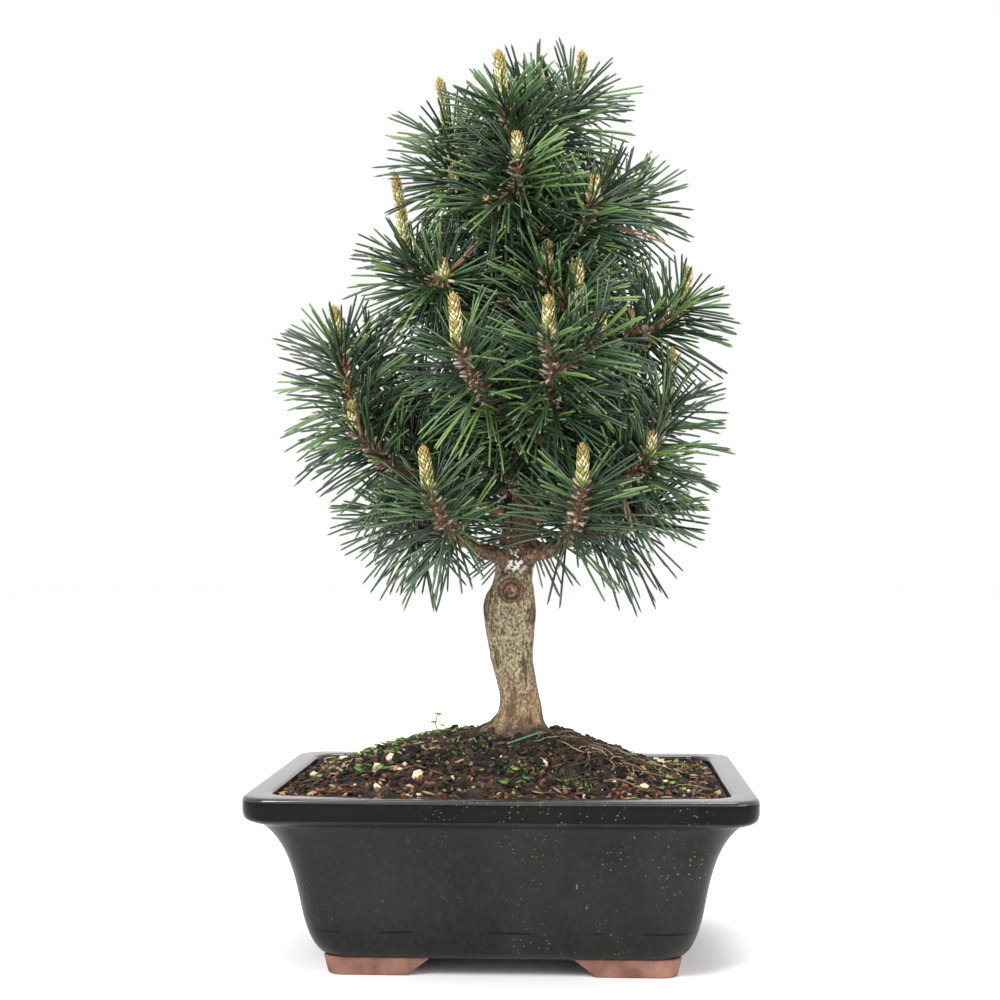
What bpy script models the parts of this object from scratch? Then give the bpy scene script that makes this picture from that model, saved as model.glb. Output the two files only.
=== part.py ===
"""A Japanese black pine bonsai in its glazed pot.

Units are metres, +Z is up and the front of the pot faces -Y. The origin is on the ground, under the middle
of the pot. Bearings are in degrees round the leader, seen from above: 0 is to the right, 90 to the back,
180 to the left and 270 to the front.
"""

import math
import random
from collections import namedtuple

import bmesh
import bpy
import numpy as np
from mathutils import Vector
from mathutils.geometry import interpolate_bezier

MM = 0.001
GAP = 0.3 * MM
SEED = 11

# Pot
POT_WIDTH = 250 * MM
POT_DEPTH = 190 * MM
POT_HEIGHT = 92.5 * MM
POT_CORNER = 15 * MM
CORNER_STEPS = 3
FOOT_CORNER_STEPS = 3
RIM_WIDTH = 12.5 * MM
RIM_BAND = 8.5 * MM
RIM_ROUND = 1.5 * MM
MOUTH_INSET = RIM_WIDTH + 0.3 * MM
COVE_HEIGHT = 77.5 * MM
COVE_INSET = 8.5 * MM
WAIST_HEIGHT = 36 * MM
WAIST_INSET = 24.5 * MM
BASE_INSET = 35.2 * MM
WALL = 8 * MM
FLOOR = 9 * MM
FOOT_HEIGHT = 9.4 * MM
FOOT_INSET = 37.7 * MM
FOOT_TOP_INSET = 35.6 * MM
FOOT_ARM = 14 * MM
FOOT_CORNER = 8 * MM
FOOT_SINK = 2 * MM
FOOT_START = (47 * MM, 30 * MM)
FOOT_TOP_START = (35 * MM, 18 * MM)
DRAIN_RADIUS = 8 * MM
DRAIN_PLACE = 42 * MM
DRAIN_SIDES = 16

# Soil
SOIL_BELOW_RIM = 3.5 * MM
GROUND = 113 * MM
MOUND_RINGS = 6
MOUND_POWER = 1.8
MOUND_SKEW = 0.5
PLATEAU_SHARE = 0.23

# Trunk and limbs
LEADER_RIGHT = 10 * MM
TRUNK_SIDES = 16
ROOT_LOBES = 5
ROOT_LOBE_DEPTH = 0.14
ROOT_LOBE_TURN = 1.0
ROOT_FADE = 12 * MM
BOUGH_SIDES = 6
BOUGH_STEPS = 4
BOUGH_RISE = 0.35
BEND_PULL = 0.38
STEM_SIDES = 3
STEM_STEPS = 3
STEM_STUB = 2.5 * MM
STEM_RADIUS = 2.1 * MM
CANDLE_RADIUS = 3.1 * MM
CANDLE_LEAN = 7.0
CANDLE_TAPER = ((0.3, 1.0), (0.75, 0.85), (1.0, 0.3))

# Sprays of needles
NEEDLE = 39 * MM
NEEDLE_SPREAD = 0.1
NEEDLE_ROOT_SHARE = 0.36
SHORTEST_SHARE = 0.45
SPRAY_NEEDLES = 5
SPRAY_STEP = 20.0
SPRAY_HALF_THICKNESS = 1.0 * MM
SPRAY_HEEL = 0.8 * MM
SPRAY_PALM = 2.6 * MM
SPRAY_TURN = 137.5
TIP_TWIST = 20.0
FOOT_TWIST = 60.0
NEEDLE_TILT = 0.1
SPRAY_SPACING = 5.2 * MM
SPRAY_COUNT = (5, 8)
FIRST_SPRAY = 1.5 * MM
TIP_ANGLE = 36.0
FOOT_ANGLE = 92.0
MASS_MARGIN = 1.7 * MM
SHOOT_MARGIN = 0.5 * MM
LIMB_MARGIN = 1.2 * MM
CROWN_HALF_WIDTH = 120 * MM
CROWN_HALF_DEPTH = 100 * MM
CROWN_TOP = 482 * MM

# Height, distance to the right, distance to the back and radius at each ring of the trunk, in millimetres
TRUNK_RINGS = (
    (113, 4.0, 0.0, 20.0),
    (116, 4.0, 0.0, 17.4),
    (120, 5.4, 0.0, 13.8),
    (126, 7.2, 0.0, 11.2),
    (134, 6.9, 0.0, 10.2),
    (143, 5.2, -0.5, 10.4),
    (152, 2.8, -1.0, 11.0),
    (162, 2.1, -1.5, 12.1),
    (172, 1.8, -1.5, 13.4),
    (180, 1.6, -1.5, 13.9),
    (188, 2.2, -1.0, 12.5),
    (195, 3.4, -0.5, 9.9),
    (201, 4.4, 0.0, 9.7),
    (207, 4.8, 0.0, 10.8),
    (214, 5.6, 0.0, 8.9),
    (224, 6.8, 0.0, 8.4),
    (238, 9.8, 0.5, 7.5),
    (265, 11.6, 1.0, 6.6),
    (300, 11.6, 0.5, 5.6),
    (335, 11.0, -1.0, 4.7),
    (365, 9.8, -2.0, 3.9),
    (392, 8.2, -2.0, 3.0),
)

# A limb leaves the trunk at one height and ends at a bearing, a reach and a height, all but the bearing in
# millimetres. Each shoot that grows on from its tip has the bearing, reach and height of its candle's foot,
# and the candle's length.
Limb = namedtuple("Limb", "name leaves bearing reach height radius shoots")
LEFT_SHOOTS = ((199, 92, 272, 16), (188, 99, 320, 20), (174, 64, 286, 12), (175, 84, 317, 11))
LIMBS = (
    Limb("low_left", 205, 225, 42, 216, 4.2, ((229, 72, 242, 21),)),
    Limb("low_right", 206, 303, 38, 217, 4.4, ((298, 64, 244, 20),)),
    Limb("low_left_back", 207, 163, 40, 217, 3.8, ((163, 82, 236, 12), (130, 66, 240, 14))),
    Limb("low_back", 208, 86, 32, 217, 3.8, ((100, 64, 240, 16), (70, 64, 246, 18))),
    Limb("low_right_back", 209, 25, 34, 218, 3.8, ((19, 74, 238, 11), (42, 70, 252, 15))),
    Limb("left", 228, 192, 42, 246, 4.2, LEFT_SHOOTS),
    Limb("right", 226, 345, 36, 244, 4.2, ((334, 72, 259, 12), (351, 76, 290, 27))),
    Limb("inner_left", 238, 226, 14, 244, 2.6, ((224, 26, 257, 16),)),
    Limb("left_back", 250, 140, 34, 264, 3.4, ((146, 76, 290, 17), (122, 66, 286, 15))),
    Limb("right_back", 252, 42, 32, 264, 3.4, ((38, 76, 290, 18), (62, 66, 284, 14))),
    Limb("front_left", 262, 248, 28, 280, 3.6, ((242, 68, 314, 25),)),
    Limb("front_right", 256, 293, 36, 280, 3.8, ((282, 65, 319, 18), (307, 65, 318, 12))),
    Limb("right_upper", 292, 2, 40, 312, 3.4, ((1, 85, 343, 19), (338, 58, 326, 10))),
    Limb("back", 285, 92, 28, 300, 3.2, ((106, 64, 328, 18), (76, 64, 334, 16))),
    Limb("front_upper", 304, 300, 22, 318, 3.2, ((290, 36, 354, 16), (300, 55, 336, 22))),
    Limb("upper_left", 312, 176, 32, 334, 3.4, ((173, 65, 371, 46), (215, 50, 352, 10))),
    Limb("upper_left_back", 318, 135, 24, 336, 2.8, ((130, 58, 362, 17),)),
    Limb("upper_right_back", 326, 48, 22, 344, 2.8, ((46, 60, 366, 16),)),
    Limb("upper_right", 352, 8, 20, 372, 3.0, ((3, 43, 407, 16), (24, 64, 401, 14))),
    Limb("top_left", 364, 170, 18, 386, 2.8, ((162, 45, 437, 33), (205, 40, 404, 10))),
    Limb("top_back", 362, 88, 15, 382, 2.8, ((92, 42, 412, 16),)),
    Limb("upper_front_right", 344, 330, 18, 362, 2.8, ((322, 46, 392, 13),)),
    Limb("top_front", 366, 262, 14, 386, 2.8, ((266, 38, 413, 12), (238, 34, 388, 9))),
)
TOP_SHOOTS = ((241, 23, 448, 25), (343, 7, 452, 19), (26, 32, 459, 24), (100, 26, 444, 15))

GLAZE = ((0.018, 0.021, 0.019), 0.22)
EARTH = ((0.055, 0.033, 0.021), 0.95)
BARK = ((0.33, 0.27, 0.19), 0.85)
BOUGH_BARK = ((0.16, 0.10, 0.065), 0.85)
NEEDLES = ((0.028, 0.085, 0.045), 0.5)


def clear_scene():
    for thing in list(bpy.data.objects):
        bpy.data.objects.remove(thing)


def make_material(name, look):
    colour, roughness = look
    material = bpy.data.materials.new(name)
    material.use_nodes = True
    shader = material.node_tree.nodes["Principled BSDF"]
    shader.inputs["Base Color"].default_value = (*colour, 1)
    shader.inputs["Roughness"].default_value = roughness
    material.diffuse_color = (*colour, 1)
    return material


def make_object(name, points, faces, material=None):
    mesh = bpy.data.meshes.new(name)
    mesh.from_pydata([tuple(point) for point in points], [], faces)
    if material:
        mesh.materials.append(material)
    thing = bpy.data.objects.new(name, mesh)
    bpy.context.scene.collection.objects.link(thing)
    return thing


def smooth(thing, sharp_over=38):
    thing.data.shade_smooth()
    thing.data.set_sharp_from_angle(angle=math.radians(sharp_over))


def loft(rings):
    """Points and faces of the skin over rings that run anticlockwise, with flat ends."""
    count = len(rings[0])
    points = [point for ring in rings for point in ring]
    faces = [tuple(reversed(range(count)))]
    for row in range(len(rings) - 1):
        for i in range(count):
            here = row * count + i
            beside = row * count + (i + 1) % count
            faces.append((here, beside, beside + count, here + count))
    faces.append(tuple(range(len(points) - count, len(points))))
    return points, faces


def add_boolean(thing, other, operation):
    other.hide_render = True
    other.display_type = "WIRE"
    modifier = thing.modifiers.new(other.name, "BOOLEAN")
    modifier.object = other
    modifier.operation = operation


# Pot


def rounded_rectangle(inset, height, corner=POT_CORNER):
    """A ring inside the rim's outer face by the inset, anticlockwise from above."""
    half_width = POT_WIDTH / 2 - inset
    half_depth = POT_DEPTH / 2 - inset
    points = []
    for quarter, (side, end) in enumerate(((1, 1), (-1, 1), (-1, -1), (1, -1))):
        centre = Vector((side * (half_width - corner), end * (half_depth - corner), height))
        for step in range(CORNER_STEPS + 1):
            angle = math.radians(90 * (quarter + step / CORNER_STEPS))
            points.append(centre + corner * Vector((math.cos(angle), math.sin(angle), 0)))
    return points


def curve_through(start, start_handle, end_handle, end, steps):
    ends = [Vector((*point, 0)) for point in (start, start_handle, end_handle, end)]
    return [(point.x, point.y) for point in interpolate_bezier(*ends, steps)]


def body_profile():
    """Inset and height up the outside of the pot, from its foot line to the cove under the rim."""
    waist = (WAIST_INSET, WAIST_HEIGHT)
    round_foot = curve_through(
        (BASE_INSET, FOOT_HEIGHT), (30 * MM, 12.5 * MM), (26.5 * MM, 24 * MM), waist, 5
    )
    flare = curve_through(waist, (21.5 * MM, 54 * MM), (18 * MM, 68 * MM), (COVE_INSET, COVE_HEIGHT), 6)
    return round_foot + flare[1:]


def rim_profile():
    band_foot = POT_HEIGHT - RIM_BAND
    return [
        (0.7 * COVE_INSET, COVE_HEIGHT + 1 * MM),
        (0.25 * COVE_INSET, COVE_HEIGHT + 3 * MM),
        (0, band_foot),
        (0, POT_HEIGHT - RIM_ROUND),
        (0.3 * RIM_ROUND, POT_HEIGHT - 0.3 * RIM_ROUND),
        (RIM_ROUND, POT_HEIGHT),
        (RIM_WIDTH - RIM_ROUND, POT_HEIGHT),
        (RIM_WIDTH, POT_HEIGHT - RIM_ROUND),
    ]


def inside_profile():
    """Inset and height down the inside, from under the rim to the floor."""
    floor_height = FOOT_HEIGHT + FLOOR
    wall = [(inset + WALL, height) for inset, height in reversed(body_profile()) if height > floor_height]
    return [(MOUTH_INSET, POT_HEIGHT - RIM_BAND), *wall, (BASE_INSET + 2 * MM, floor_height)]


def foot_ring(side, end, inset, starts, height):
    """The outline of an L-shaped foot at one corner of the pot."""
    far_x = POT_WIDTH / 2 - inset
    far_y = POT_DEPTH / 2 - inset
    outline = [
        (starts[0], far_y - FOOT_ARM),
        (far_x - FOOT_ARM, far_y - FOOT_ARM),
        (far_x - FOOT_ARM, starts[1]),
        (far_x, starts[1]),
    ]
    for step in range(FOOT_CORNER_STEPS + 1):
        angle = math.radians(90 * step / FOOT_CORNER_STEPS)
        across = far_x - FOOT_CORNER * (1 - math.cos(angle))
        along = far_y - FOOT_CORNER * (1 - math.sin(angle))
        outline.append((across, along))
    outline.append((starts[0], far_y))
    ring = [Vector((side * x, end * y, height)) for x, y in outline]
    return ring if side * end > 0 else ring[::-1]


def make_feet():
    points, faces = [], []
    for side in (1, -1):
        for end in (1, -1):
            rings = [
                foot_ring(side, end, FOOT_INSET, FOOT_START, 0),
                foot_ring(side, end, FOOT_TOP_INSET, FOOT_TOP_START, FOOT_HEIGHT + FOOT_SINK),
            ]
            more_points, more_faces = loft(rings)
            faces += [tuple(index + len(points) for index in face) for face in more_faces]
            points += more_points
    return make_object("feet", points, faces)


def make_drains():
    points, faces = [], []
    turns = [math.tau * step / DRAIN_SIDES for step in range(DRAIN_SIDES)]
    for side in (1, -1):
        rings = []
        for height in (0.5 * FOOT_HEIGHT, FOOT_HEIGHT + FLOOR + FOOT_SINK):
            centre = Vector((side * DRAIN_PLACE, 0, height))
            rings.append([centre + DRAIN_RADIUS * Vector((math.cos(a), math.sin(a), 0)) for a in turns])
        more_points, more_faces = loft(rings)
        faces += [tuple(index + len(points) for index in face) for face in more_faces]
        points += more_points
    return make_object("drains", points, faces)


def make_pot(material):
    profile = body_profile() + rim_profile() + inside_profile()
    pot = make_object("pot", *loft([rounded_rectangle(*place) for place in profile]), material)
    add_boolean(pot, make_feet(), "UNION")
    add_boolean(pot, make_drains(), "DIFFERENCE")
    smooth(pot)
    return pot


# Soil


def make_soil(material):
    """Fills the pot just clear of its wall, and rises in a mound to the flat cut of the trunk."""
    edge_height = POT_HEIGHT - SOIL_BELOW_RIM
    sides = [(inset + GAP, height) for inset, height in reversed(inside_profile())]
    sides[0] = (sides[0][0], FOOT_HEIGHT + FLOOR + GAP)
    edge = (MOUTH_INSET + GAP, edge_height)
    rings = [rounded_rectangle(*place) for place in (*sides, edge)]
    foot_of_trunk = Vector((TRUNK_RINGS[0][1] * MM, TRUNK_RINGS[0][2] * MM, 0))
    plateau = GROUND - GAP
    for step in range(1, MOUND_RINGS + 1):
        share = 1 - step / MOUND_RINGS * (1 - PLATEAU_SHARE)
        climb = (1 - share**2) / (1 - PLATEAU_SHARE**2)
        ring = []
        for point in rounded_rectangle(*edge):
            flat = foot_of_trunk + (Vector((point.x, point.y, 0)) - foot_of_trunk) * share
            steepness = MOUND_POWER + MOUND_SKEW * point.x / (POT_WIDTH / 2)
            flat.z = edge_height + (plateau - edge_height) * climb**steepness
            ring.append(flat)
        rings.append(ring)
    soil = make_object("soil", *loft(rings), material)
    smooth(soil)
    return soil


# Trunk


def trunk_at(height):
    """Centre and radius of the trunk at a height."""
    heights, rights, backs, radii = np.array(TRUNK_RINGS).T * MM
    right, back, radius = (float(np.interp(height, heights, row)) for row in (rights, backs, radii))
    return Vector((right, back, height)), radius


def trunk_ring(height, extra=0.0):
    centre, radius = trunk_at(height)
    fade = math.exp(-((height - GROUND) / ROOT_FADE) ** 2)
    ring = []
    for side in range(TRUNK_SIDES):
        angle = math.tau * side / TRUNK_SIDES
        lobe = 1 + ROOT_LOBE_DEPTH * fade * math.cos(ROOT_LOBES * angle + ROOT_LOBE_TURN)
        reach = radius * lobe + extra
        ring.append(centre + reach * Vector((math.cos(angle), math.sin(angle), 0)))
    return ring


def make_trunk(name, material=None, extra=0.0):
    heights = [row[0] * MM for row in TRUNK_RINGS]
    trunk = make_object(name, *loft([trunk_ring(height, extra) for height in heights]), material)
    smooth(trunk)
    return trunk


# Limbs


def place(bearing, reach, height):
    """A point from its bearing and reach from the leader and its height, both in millimetres."""
    turn = math.radians(bearing)
    return Vector((LEADER_RIGHT + reach * MM * math.cos(turn), reach * MM * math.sin(turn), height * MM))


def tube(path, radii, sides):
    """A tapering round limb along a path, as points and faces."""
    rings = []
    across = Vector((0, 0, 1)).cross(path[1] - path[0]).normalized()
    if across.length < 0.5:
        across = Vector((1, 0, 0))
    for index, (centre, radius) in enumerate(zip(path, radii)):
        ahead = (path[min(index + 1, len(path) - 1)] - path[max(index - 1, 0)]).normalized()
        across = (across - ahead * across.dot(ahead)).normalized()
        beside = ahead.cross(across)
        turns = [math.tau * side / sides for side in range(sides)]
        rings.append([centre + radius * (math.cos(a) * across + math.sin(a) * beside) for a in turns])
    return loft(rings)


def bend(start, start_way, end, end_way, steps):
    """A curve from start to end that leaves and arrives in the given directions."""
    pull = BEND_PULL * (end - start).length
    return interpolate_bezier(start, start + pull * start_way, end - pull * end_way, end, steps)


def bough_path(limb):
    start, _ = trunk_at(limb.leaves * MM)
    tip = place(limb.bearing, limb.reach, limb.height)
    first_shoot = place(*limb.shoots[0][:3])
    outwards = Vector((tip.x - start.x, tip.y - start.y, 0)).normalized()
    leaving = (outwards + Vector((0, 0, BOUGH_RISE))).normalized()
    return bend(start, leaving, tip, (first_shoot - tip).normalized(), BOUGH_STEPS)


def make_bough(limb, cutter, material):
    path = bough_path(limb)
    shares = [index / (len(path) - 1) for index in range(len(path))]
    radii = [limb.radius * MM * (1 - share) + STEM_RADIUS * share for share in shares]
    bough = make_object("bough_" + limb.name, *tube(path, radii, BOUGH_SIDES), material)
    add_boolean(bough, cutter, "DIFFERENCE")
    smooth(bough, 60)
    return bough


# Shoots


Shoot = namedtuple("Shoot", "mass path foot way candle")


def candle_way(bearing):
    turn = math.radians(bearing)
    lean = math.radians(CANDLE_LEAN)
    return Vector((math.sin(lean) * math.cos(turn), math.sin(lean) * math.sin(turn), math.cos(lean)))


def grow_shoots(mass, start, way, rows):
    """The first shoot carries on from the limb's tip, and the others fork from it."""
    shoots = []
    for bearing, reach, height, candle in rows:
        foot = place(bearing, reach, height)
        up = candle_way(bearing)
        if shoots:
            main = shoots[0].path
            fork = 1 + len(shoots) % 2
            path = bend(main[fork], (main[fork + 1] - main[fork]).normalized(), foot, up, STEM_STEPS)
        else:
            path = [start + GAP * way, *bend(start + STEM_STUB * way, way, foot, up, STEM_STEPS)]
        shoots.append(Shoot(mass, path, foot, up, candle * MM))
    return shoots


def all_shoots():
    shoots = []
    for limb in LIMBS:
        path = bough_path(limb)
        shoots += grow_shoots(limb.name, path[-1], (path[-1] - path[-2]).normalized(), limb.shoots)
    tip, _ = trunk_at(TRUNK_RINGS[-1][0] * MM)
    return shoots + grow_shoots("top", tip, Vector((0, 0, 1)), TOP_SHOOTS)


def shoot_body(shoot):
    """The woody stem and the candle on its end, as one tapering solid."""
    radii = [STEM_RADIUS] * len(shoot.path)
    path = list(shoot.path)
    for share, width in CANDLE_TAPER:
        path.append(shoot.foot + share * shoot.candle * shoot.way)
        radii.append(width * CANDLE_RADIUS)
    return tube(path, radii, STEM_SIDES)


# Space kept by each shoot


def distances(points, starts, ends):
    """How far each point is from each straight piece, as a table."""
    along = ends - starts
    offset = points[:, None] - starts[None]
    share = np.clip((offset * along).sum(2) / (along**2).sum(1), 0, 1)
    return np.linalg.norm(offset - share[..., None] * along, axis=2)


class Space:
    """Keeps each needle nearer to its own shoot than to any other, and clear of the trunk and the boughs."""

    def __init__(self, shoots):
        starts, ends, owners, masses = [], [], [], []
        names = sorted({shoot.mass for shoot in shoots})
        for number, shoot in enumerate(shoots):
            line = [*shoot.path, shoot.foot + shoot.candle * shoot.way]
            starts += line[:-1]
            ends += line[1:]
            owners += [number] * (len(line) - 1)
            masses += [names.index(shoot.mass)] * (len(line) - 1)
        self.starts, self.ends = np.array(starts), np.array(ends)
        self.owners, self.masses = np.array(owners), np.array(masses)
        self.names = names
        self.limbs = self.limb_pieces()

    def limb_pieces(self):
        starts, ends, radii = [], [], []
        for lower, upper in zip(TRUNK_RINGS, TRUNK_RINGS[1:]):
            starts.append(np.array((lower[1], lower[2], lower[0])) * MM)
            ends.append(np.array((upper[1], upper[2], upper[0])) * MM)
            radii.append(max(lower[3], upper[3]) * MM)
        for limb in LIMBS:
            path = bough_path(limb)
            starts += path[:-1]
            ends += path[1:]
            radii += [limb.radius * MM] * (len(path) - 1)
        return np.array(starts), np.array(ends), np.array(radii)

    def inside(self, points, number, mass):
        table = distances(points, self.starts, self.ends)
        own = table[:, self.owners == number].min(1)
        same_mass = self.masses == self.names.index(mass)
        sisters = same_mass & (self.owners != number)
        free = own + MASS_MARGIN < table[:, ~same_mass].min(1)
        if sisters.any():
            free &= own + SHOOT_MARGIN < table[:, sisters].min(1)
        starts, ends, radii = self.limbs
        free &= (distances(points, starts, ends) - radii).min(1) > LIMB_MARGIN
        free &= np.abs(points[:, 0]) < CROWN_HALF_WIDTH
        free &= np.abs(points[:, 1]) < CROWN_HALF_DEPTH
        return free & (points[:, 2] < CROWN_TOP)

    def free_length(self, root, way, side, length, number, mass):
        """How far a needle of this length can reach before it leaves the shoot's own space."""
        shares = np.linspace(NEEDLE_ROOT_SHARE, 1, 9)
        lines = []
        for sideways in (-1, 0, 1):
            width = sideways * NEEDLE_ROOT_SHARE * math.radians(SPRAY_STEP / 2) * (1 - shares)
            lines.append(np.array(root) + length * (shares[:, None] * way + width[:, None] * side))
        free = np.all([self.inside(line, number, mass) for line in lines], axis=0)
        reached = len(shares) if free.all() else int(np.argmin(free))
        return length * float(shares[reached - 1]) if reached else 0.0


# Sprays


def spray(root, middle, side, tilts, lengths):
    """A blade with a tooth for each needle, thickest at its palm just outside the stem."""
    face_way = middle.cross(side)

    def way_at(tooth, tilt=0.0):
        turn = math.radians((tooth - (SPRAY_NEEDLES - 1) / 2) * SPRAY_STEP)
        return (math.cos(turn) * middle + math.sin(turn) * side + tilt * face_way).normalized()

    outline = [root - SPRAY_HEEL * middle]
    valley = NEEDLE_ROOT_SHARE * NEEDLE
    open_valley = True
    for index, length in enumerate(lengths):
        if not length:
            open_valley = True
            continue
        if open_valley:
            outline.append(root + valley * way_at(index - 0.5))
        outline.append(root + length * way_at(index, tilts[index]))
        outline.append(root + valley * way_at(index + 0.5))
        open_valley = False
    palm = root + SPRAY_PALM * middle
    points = [palm + SPRAY_HALF_THICKNESS * face_way, palm - SPRAY_HALF_THICKNESS * face_way, *outline]
    faces = []
    for index in range(len(outline)):
        here = 2 + index
        beside = 2 + (index + 1) % len(outline)
        faces.append((0, here, beside))
        faces.append((1, beside, here))
    return points, faces


def sprays_of(shoot, number, space):
    """Sprays in a spiral down the stem, held forward at the tip and square to the stem at the foot."""
    picker = random.Random(SEED * 1000 + number)
    line = list(reversed(shoot.path))
    run = [0.0]
    for here, beyond in zip(line, line[1:]):
        run.append(run[-1] + (beyond - here).length)
    count = int(min(max(run[-1] / SPRAY_SPACING, SPRAY_COUNT[0]), SPRAY_COUNT[1]))
    spacing = min(SPRAY_SPACING, (run[-1] - 2 * FIRST_SPRAY) / count)
    first_turn = picker.uniform(0, 360)
    made = []
    for index in range(count):
        down = FIRST_SPRAY + index * spacing
        piece = max(i for i in range(len(run) - 1) if run[i] <= down)
        share = (down - run[piece]) / (run[piece + 1] - run[piece])
        root = line[piece].lerp(line[piece + 1], share)
        ahead = (line[piece] - line[piece + 1]).normalized()
        across = ahead.orthogonal().normalized()
        beside = ahead.cross(across)
        turn = math.radians(first_turn + index * SPRAY_TURN)
        outwards = math.cos(turn) * across + math.sin(turn) * beside
        along = index / (count - 1)
        open_angle = math.radians(TIP_ANGLE + (FOOT_ANGLE - TIP_ANGLE) * along)
        middle = math.cos(open_angle) * ahead + math.sin(open_angle) * outwards
        twist = math.radians(TIP_TWIST + (FOOT_TWIST - TIP_TWIST) * along) * (-1) ** index
        level = ahead.cross(outwards)
        side = math.cos(twist) * level + math.sin(twist) * middle.cross(level)
        tilts = [picker.uniform(-NEEDLE_TILT, NEEDLE_TILT) for _ in range(SPRAY_NEEDLES)]
        lengths = []
        for tooth in range(SPRAY_NEEDLES):
            swing = math.radians((tooth - (SPRAY_NEEDLES - 1) / 2) * SPRAY_STEP)
            way = math.cos(swing) * middle + math.sin(swing) * side
            square = math.cos(swing) * side - math.sin(swing) * middle
            length = NEEDLE * picker.uniform(1 - NEEDLE_SPREAD, 1 + NEEDLE_SPREAD)
            free = space.free_length(root, np.array(way), np.array(square), length, number, shoot.mass)
            lengths.append(free if free > SHORTEST_SHARE * NEEDLE else 0.0)
        if any(lengths):
            made.append(spray(root, middle, side, tilts, lengths))
    return made


# Masses


def keep_largest_body(thing):
    """Drops loose scraps, and the skins of hollows that the joining sealed, which fills them."""
    mesh = bmesh.new()
    mesh.from_mesh(thing.data)
    unseen = set(mesh.faces)
    bodies = []
    while unseen:
        body = {unseen.pop()}
        waiting = list(body)
        while waiting:
            for edge in waiting.pop().edges:
                if len(edge.link_faces) != 2:
                    continue
                for face in unseen.intersection(edge.link_faces):
                    unseen.remove(face)
                    body.add(face)
                    waiting.append(face)
        bodies.append(body)
    keep = max(bodies, key=len)
    loose = [face for body in bodies if body is not keep for face in body]
    bmesh.ops.delete(mesh, geom=loose, context="FACES")
    bmesh.ops.triangulate(mesh, faces=mesh.faces)
    mesh.to_mesh(thing.data)
    mesh.free()


def fuse(thing, others):
    """Joins the others to the thing in one union, applies it and removes them."""
    group = bpy.data.collections.new("joined")
    bpy.context.scene.collection.children.link(group)
    for other in others:
        bpy.context.scene.collection.objects.unlink(other)
        group.objects.link(other)
    modifier = thing.modifiers.new("join", "BOOLEAN")
    modifier.operation = "UNION"
    modifier.operand_type = "COLLECTION"
    modifier.collection = group
    graph = bpy.context.evaluated_depsgraph_get()
    fused = bpy.data.meshes.new_from_object(thing.evaluated_get(graph))
    thing.modifiers.clear()
    thing.data = fused
    for other in others:
        bpy.data.objects.remove(other)
    bpy.data.collections.remove(group)
    keep_largest_body(thing)


def make_mass(name, shoots, space, material):
    body = None
    extras = []
    for number, shoot in enumerate(shoots):
        if shoot.mass != name:
            continue
        stem = make_object("stem", *shoot_body(shoot), material)
        if body is None:
            body = stem
            body.name = "needles_" + name
        else:
            extras.append(stem)
        extras += [make_object("spray", *shape) for shape in sprays_of(shoot, number, space)]
    fuse(body, extras)
    smooth(body, 25)
    return body


def main():
    clear_scene()
    bonsai = bpy.data.objects.new("japanese_black_pine_bonsai", None)
    bpy.context.scene.collection.objects.link(bonsai)
    bark = make_material("bark", BARK)
    bough_bark = make_material("bough_bark", BOUGH_BARK)
    foliage = make_material("needles", NEEDLES)
    parts = [make_pot(make_material("glaze", GLAZE)), make_soil(make_material("earth", EARTH))]
    parts.append(make_trunk("trunk", bark))
    cutter = make_trunk("trunk_clearance", extra=GAP)
    parts += [make_bough(limb, cutter, bough_bark) for limb in LIMBS]
    shoots = all_shoots()
    space = Space(shoots)
    parts += [make_mass(name, shoots, space, foliage) for name in space.names]
    for part in parts:
        part.parent = bonsai


main()
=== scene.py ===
import math
from collections import defaultdict, namedtuple

import bpy
import numpy as np
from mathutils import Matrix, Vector, noise
from mathutils.geometry import interpolate_bezier


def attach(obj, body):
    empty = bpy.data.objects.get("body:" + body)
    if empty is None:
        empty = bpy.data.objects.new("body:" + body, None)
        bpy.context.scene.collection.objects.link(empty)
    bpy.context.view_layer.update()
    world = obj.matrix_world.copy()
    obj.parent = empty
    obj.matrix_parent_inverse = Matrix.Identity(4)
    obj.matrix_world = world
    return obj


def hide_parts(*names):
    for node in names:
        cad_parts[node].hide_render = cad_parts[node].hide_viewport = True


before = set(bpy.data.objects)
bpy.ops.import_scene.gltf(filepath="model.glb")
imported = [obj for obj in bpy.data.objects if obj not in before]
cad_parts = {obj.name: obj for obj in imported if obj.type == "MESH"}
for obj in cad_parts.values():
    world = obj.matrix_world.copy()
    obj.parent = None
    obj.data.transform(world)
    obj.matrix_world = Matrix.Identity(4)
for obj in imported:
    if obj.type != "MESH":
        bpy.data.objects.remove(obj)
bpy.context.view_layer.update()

# Lengths are in metres, and +Z is up. The front of the pot faces -Y.
MM = 0.001
SEED = 7
GOLDEN_ANGLE = math.radians(137.508)

# Pot, with the same sizes as the solid that it stands for
POT_WIDTH, POT_DEPTH, POT_HEIGHT = 250 * MM, 190 * MM, 92.5 * MM
POT_CORNER, CORNER_STEPS, SIDE_STEPS = 15 * MM, 12, 14
RIM_WIDTH, RIM_BAND, RIM_ROUND = 12.5 * MM, 8.5 * MM, 2.0 * MM
RIM_SAG = 0.35 * MM
MOUTH_INSET = RIM_WIDTH + 0.3 * MM
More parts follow.
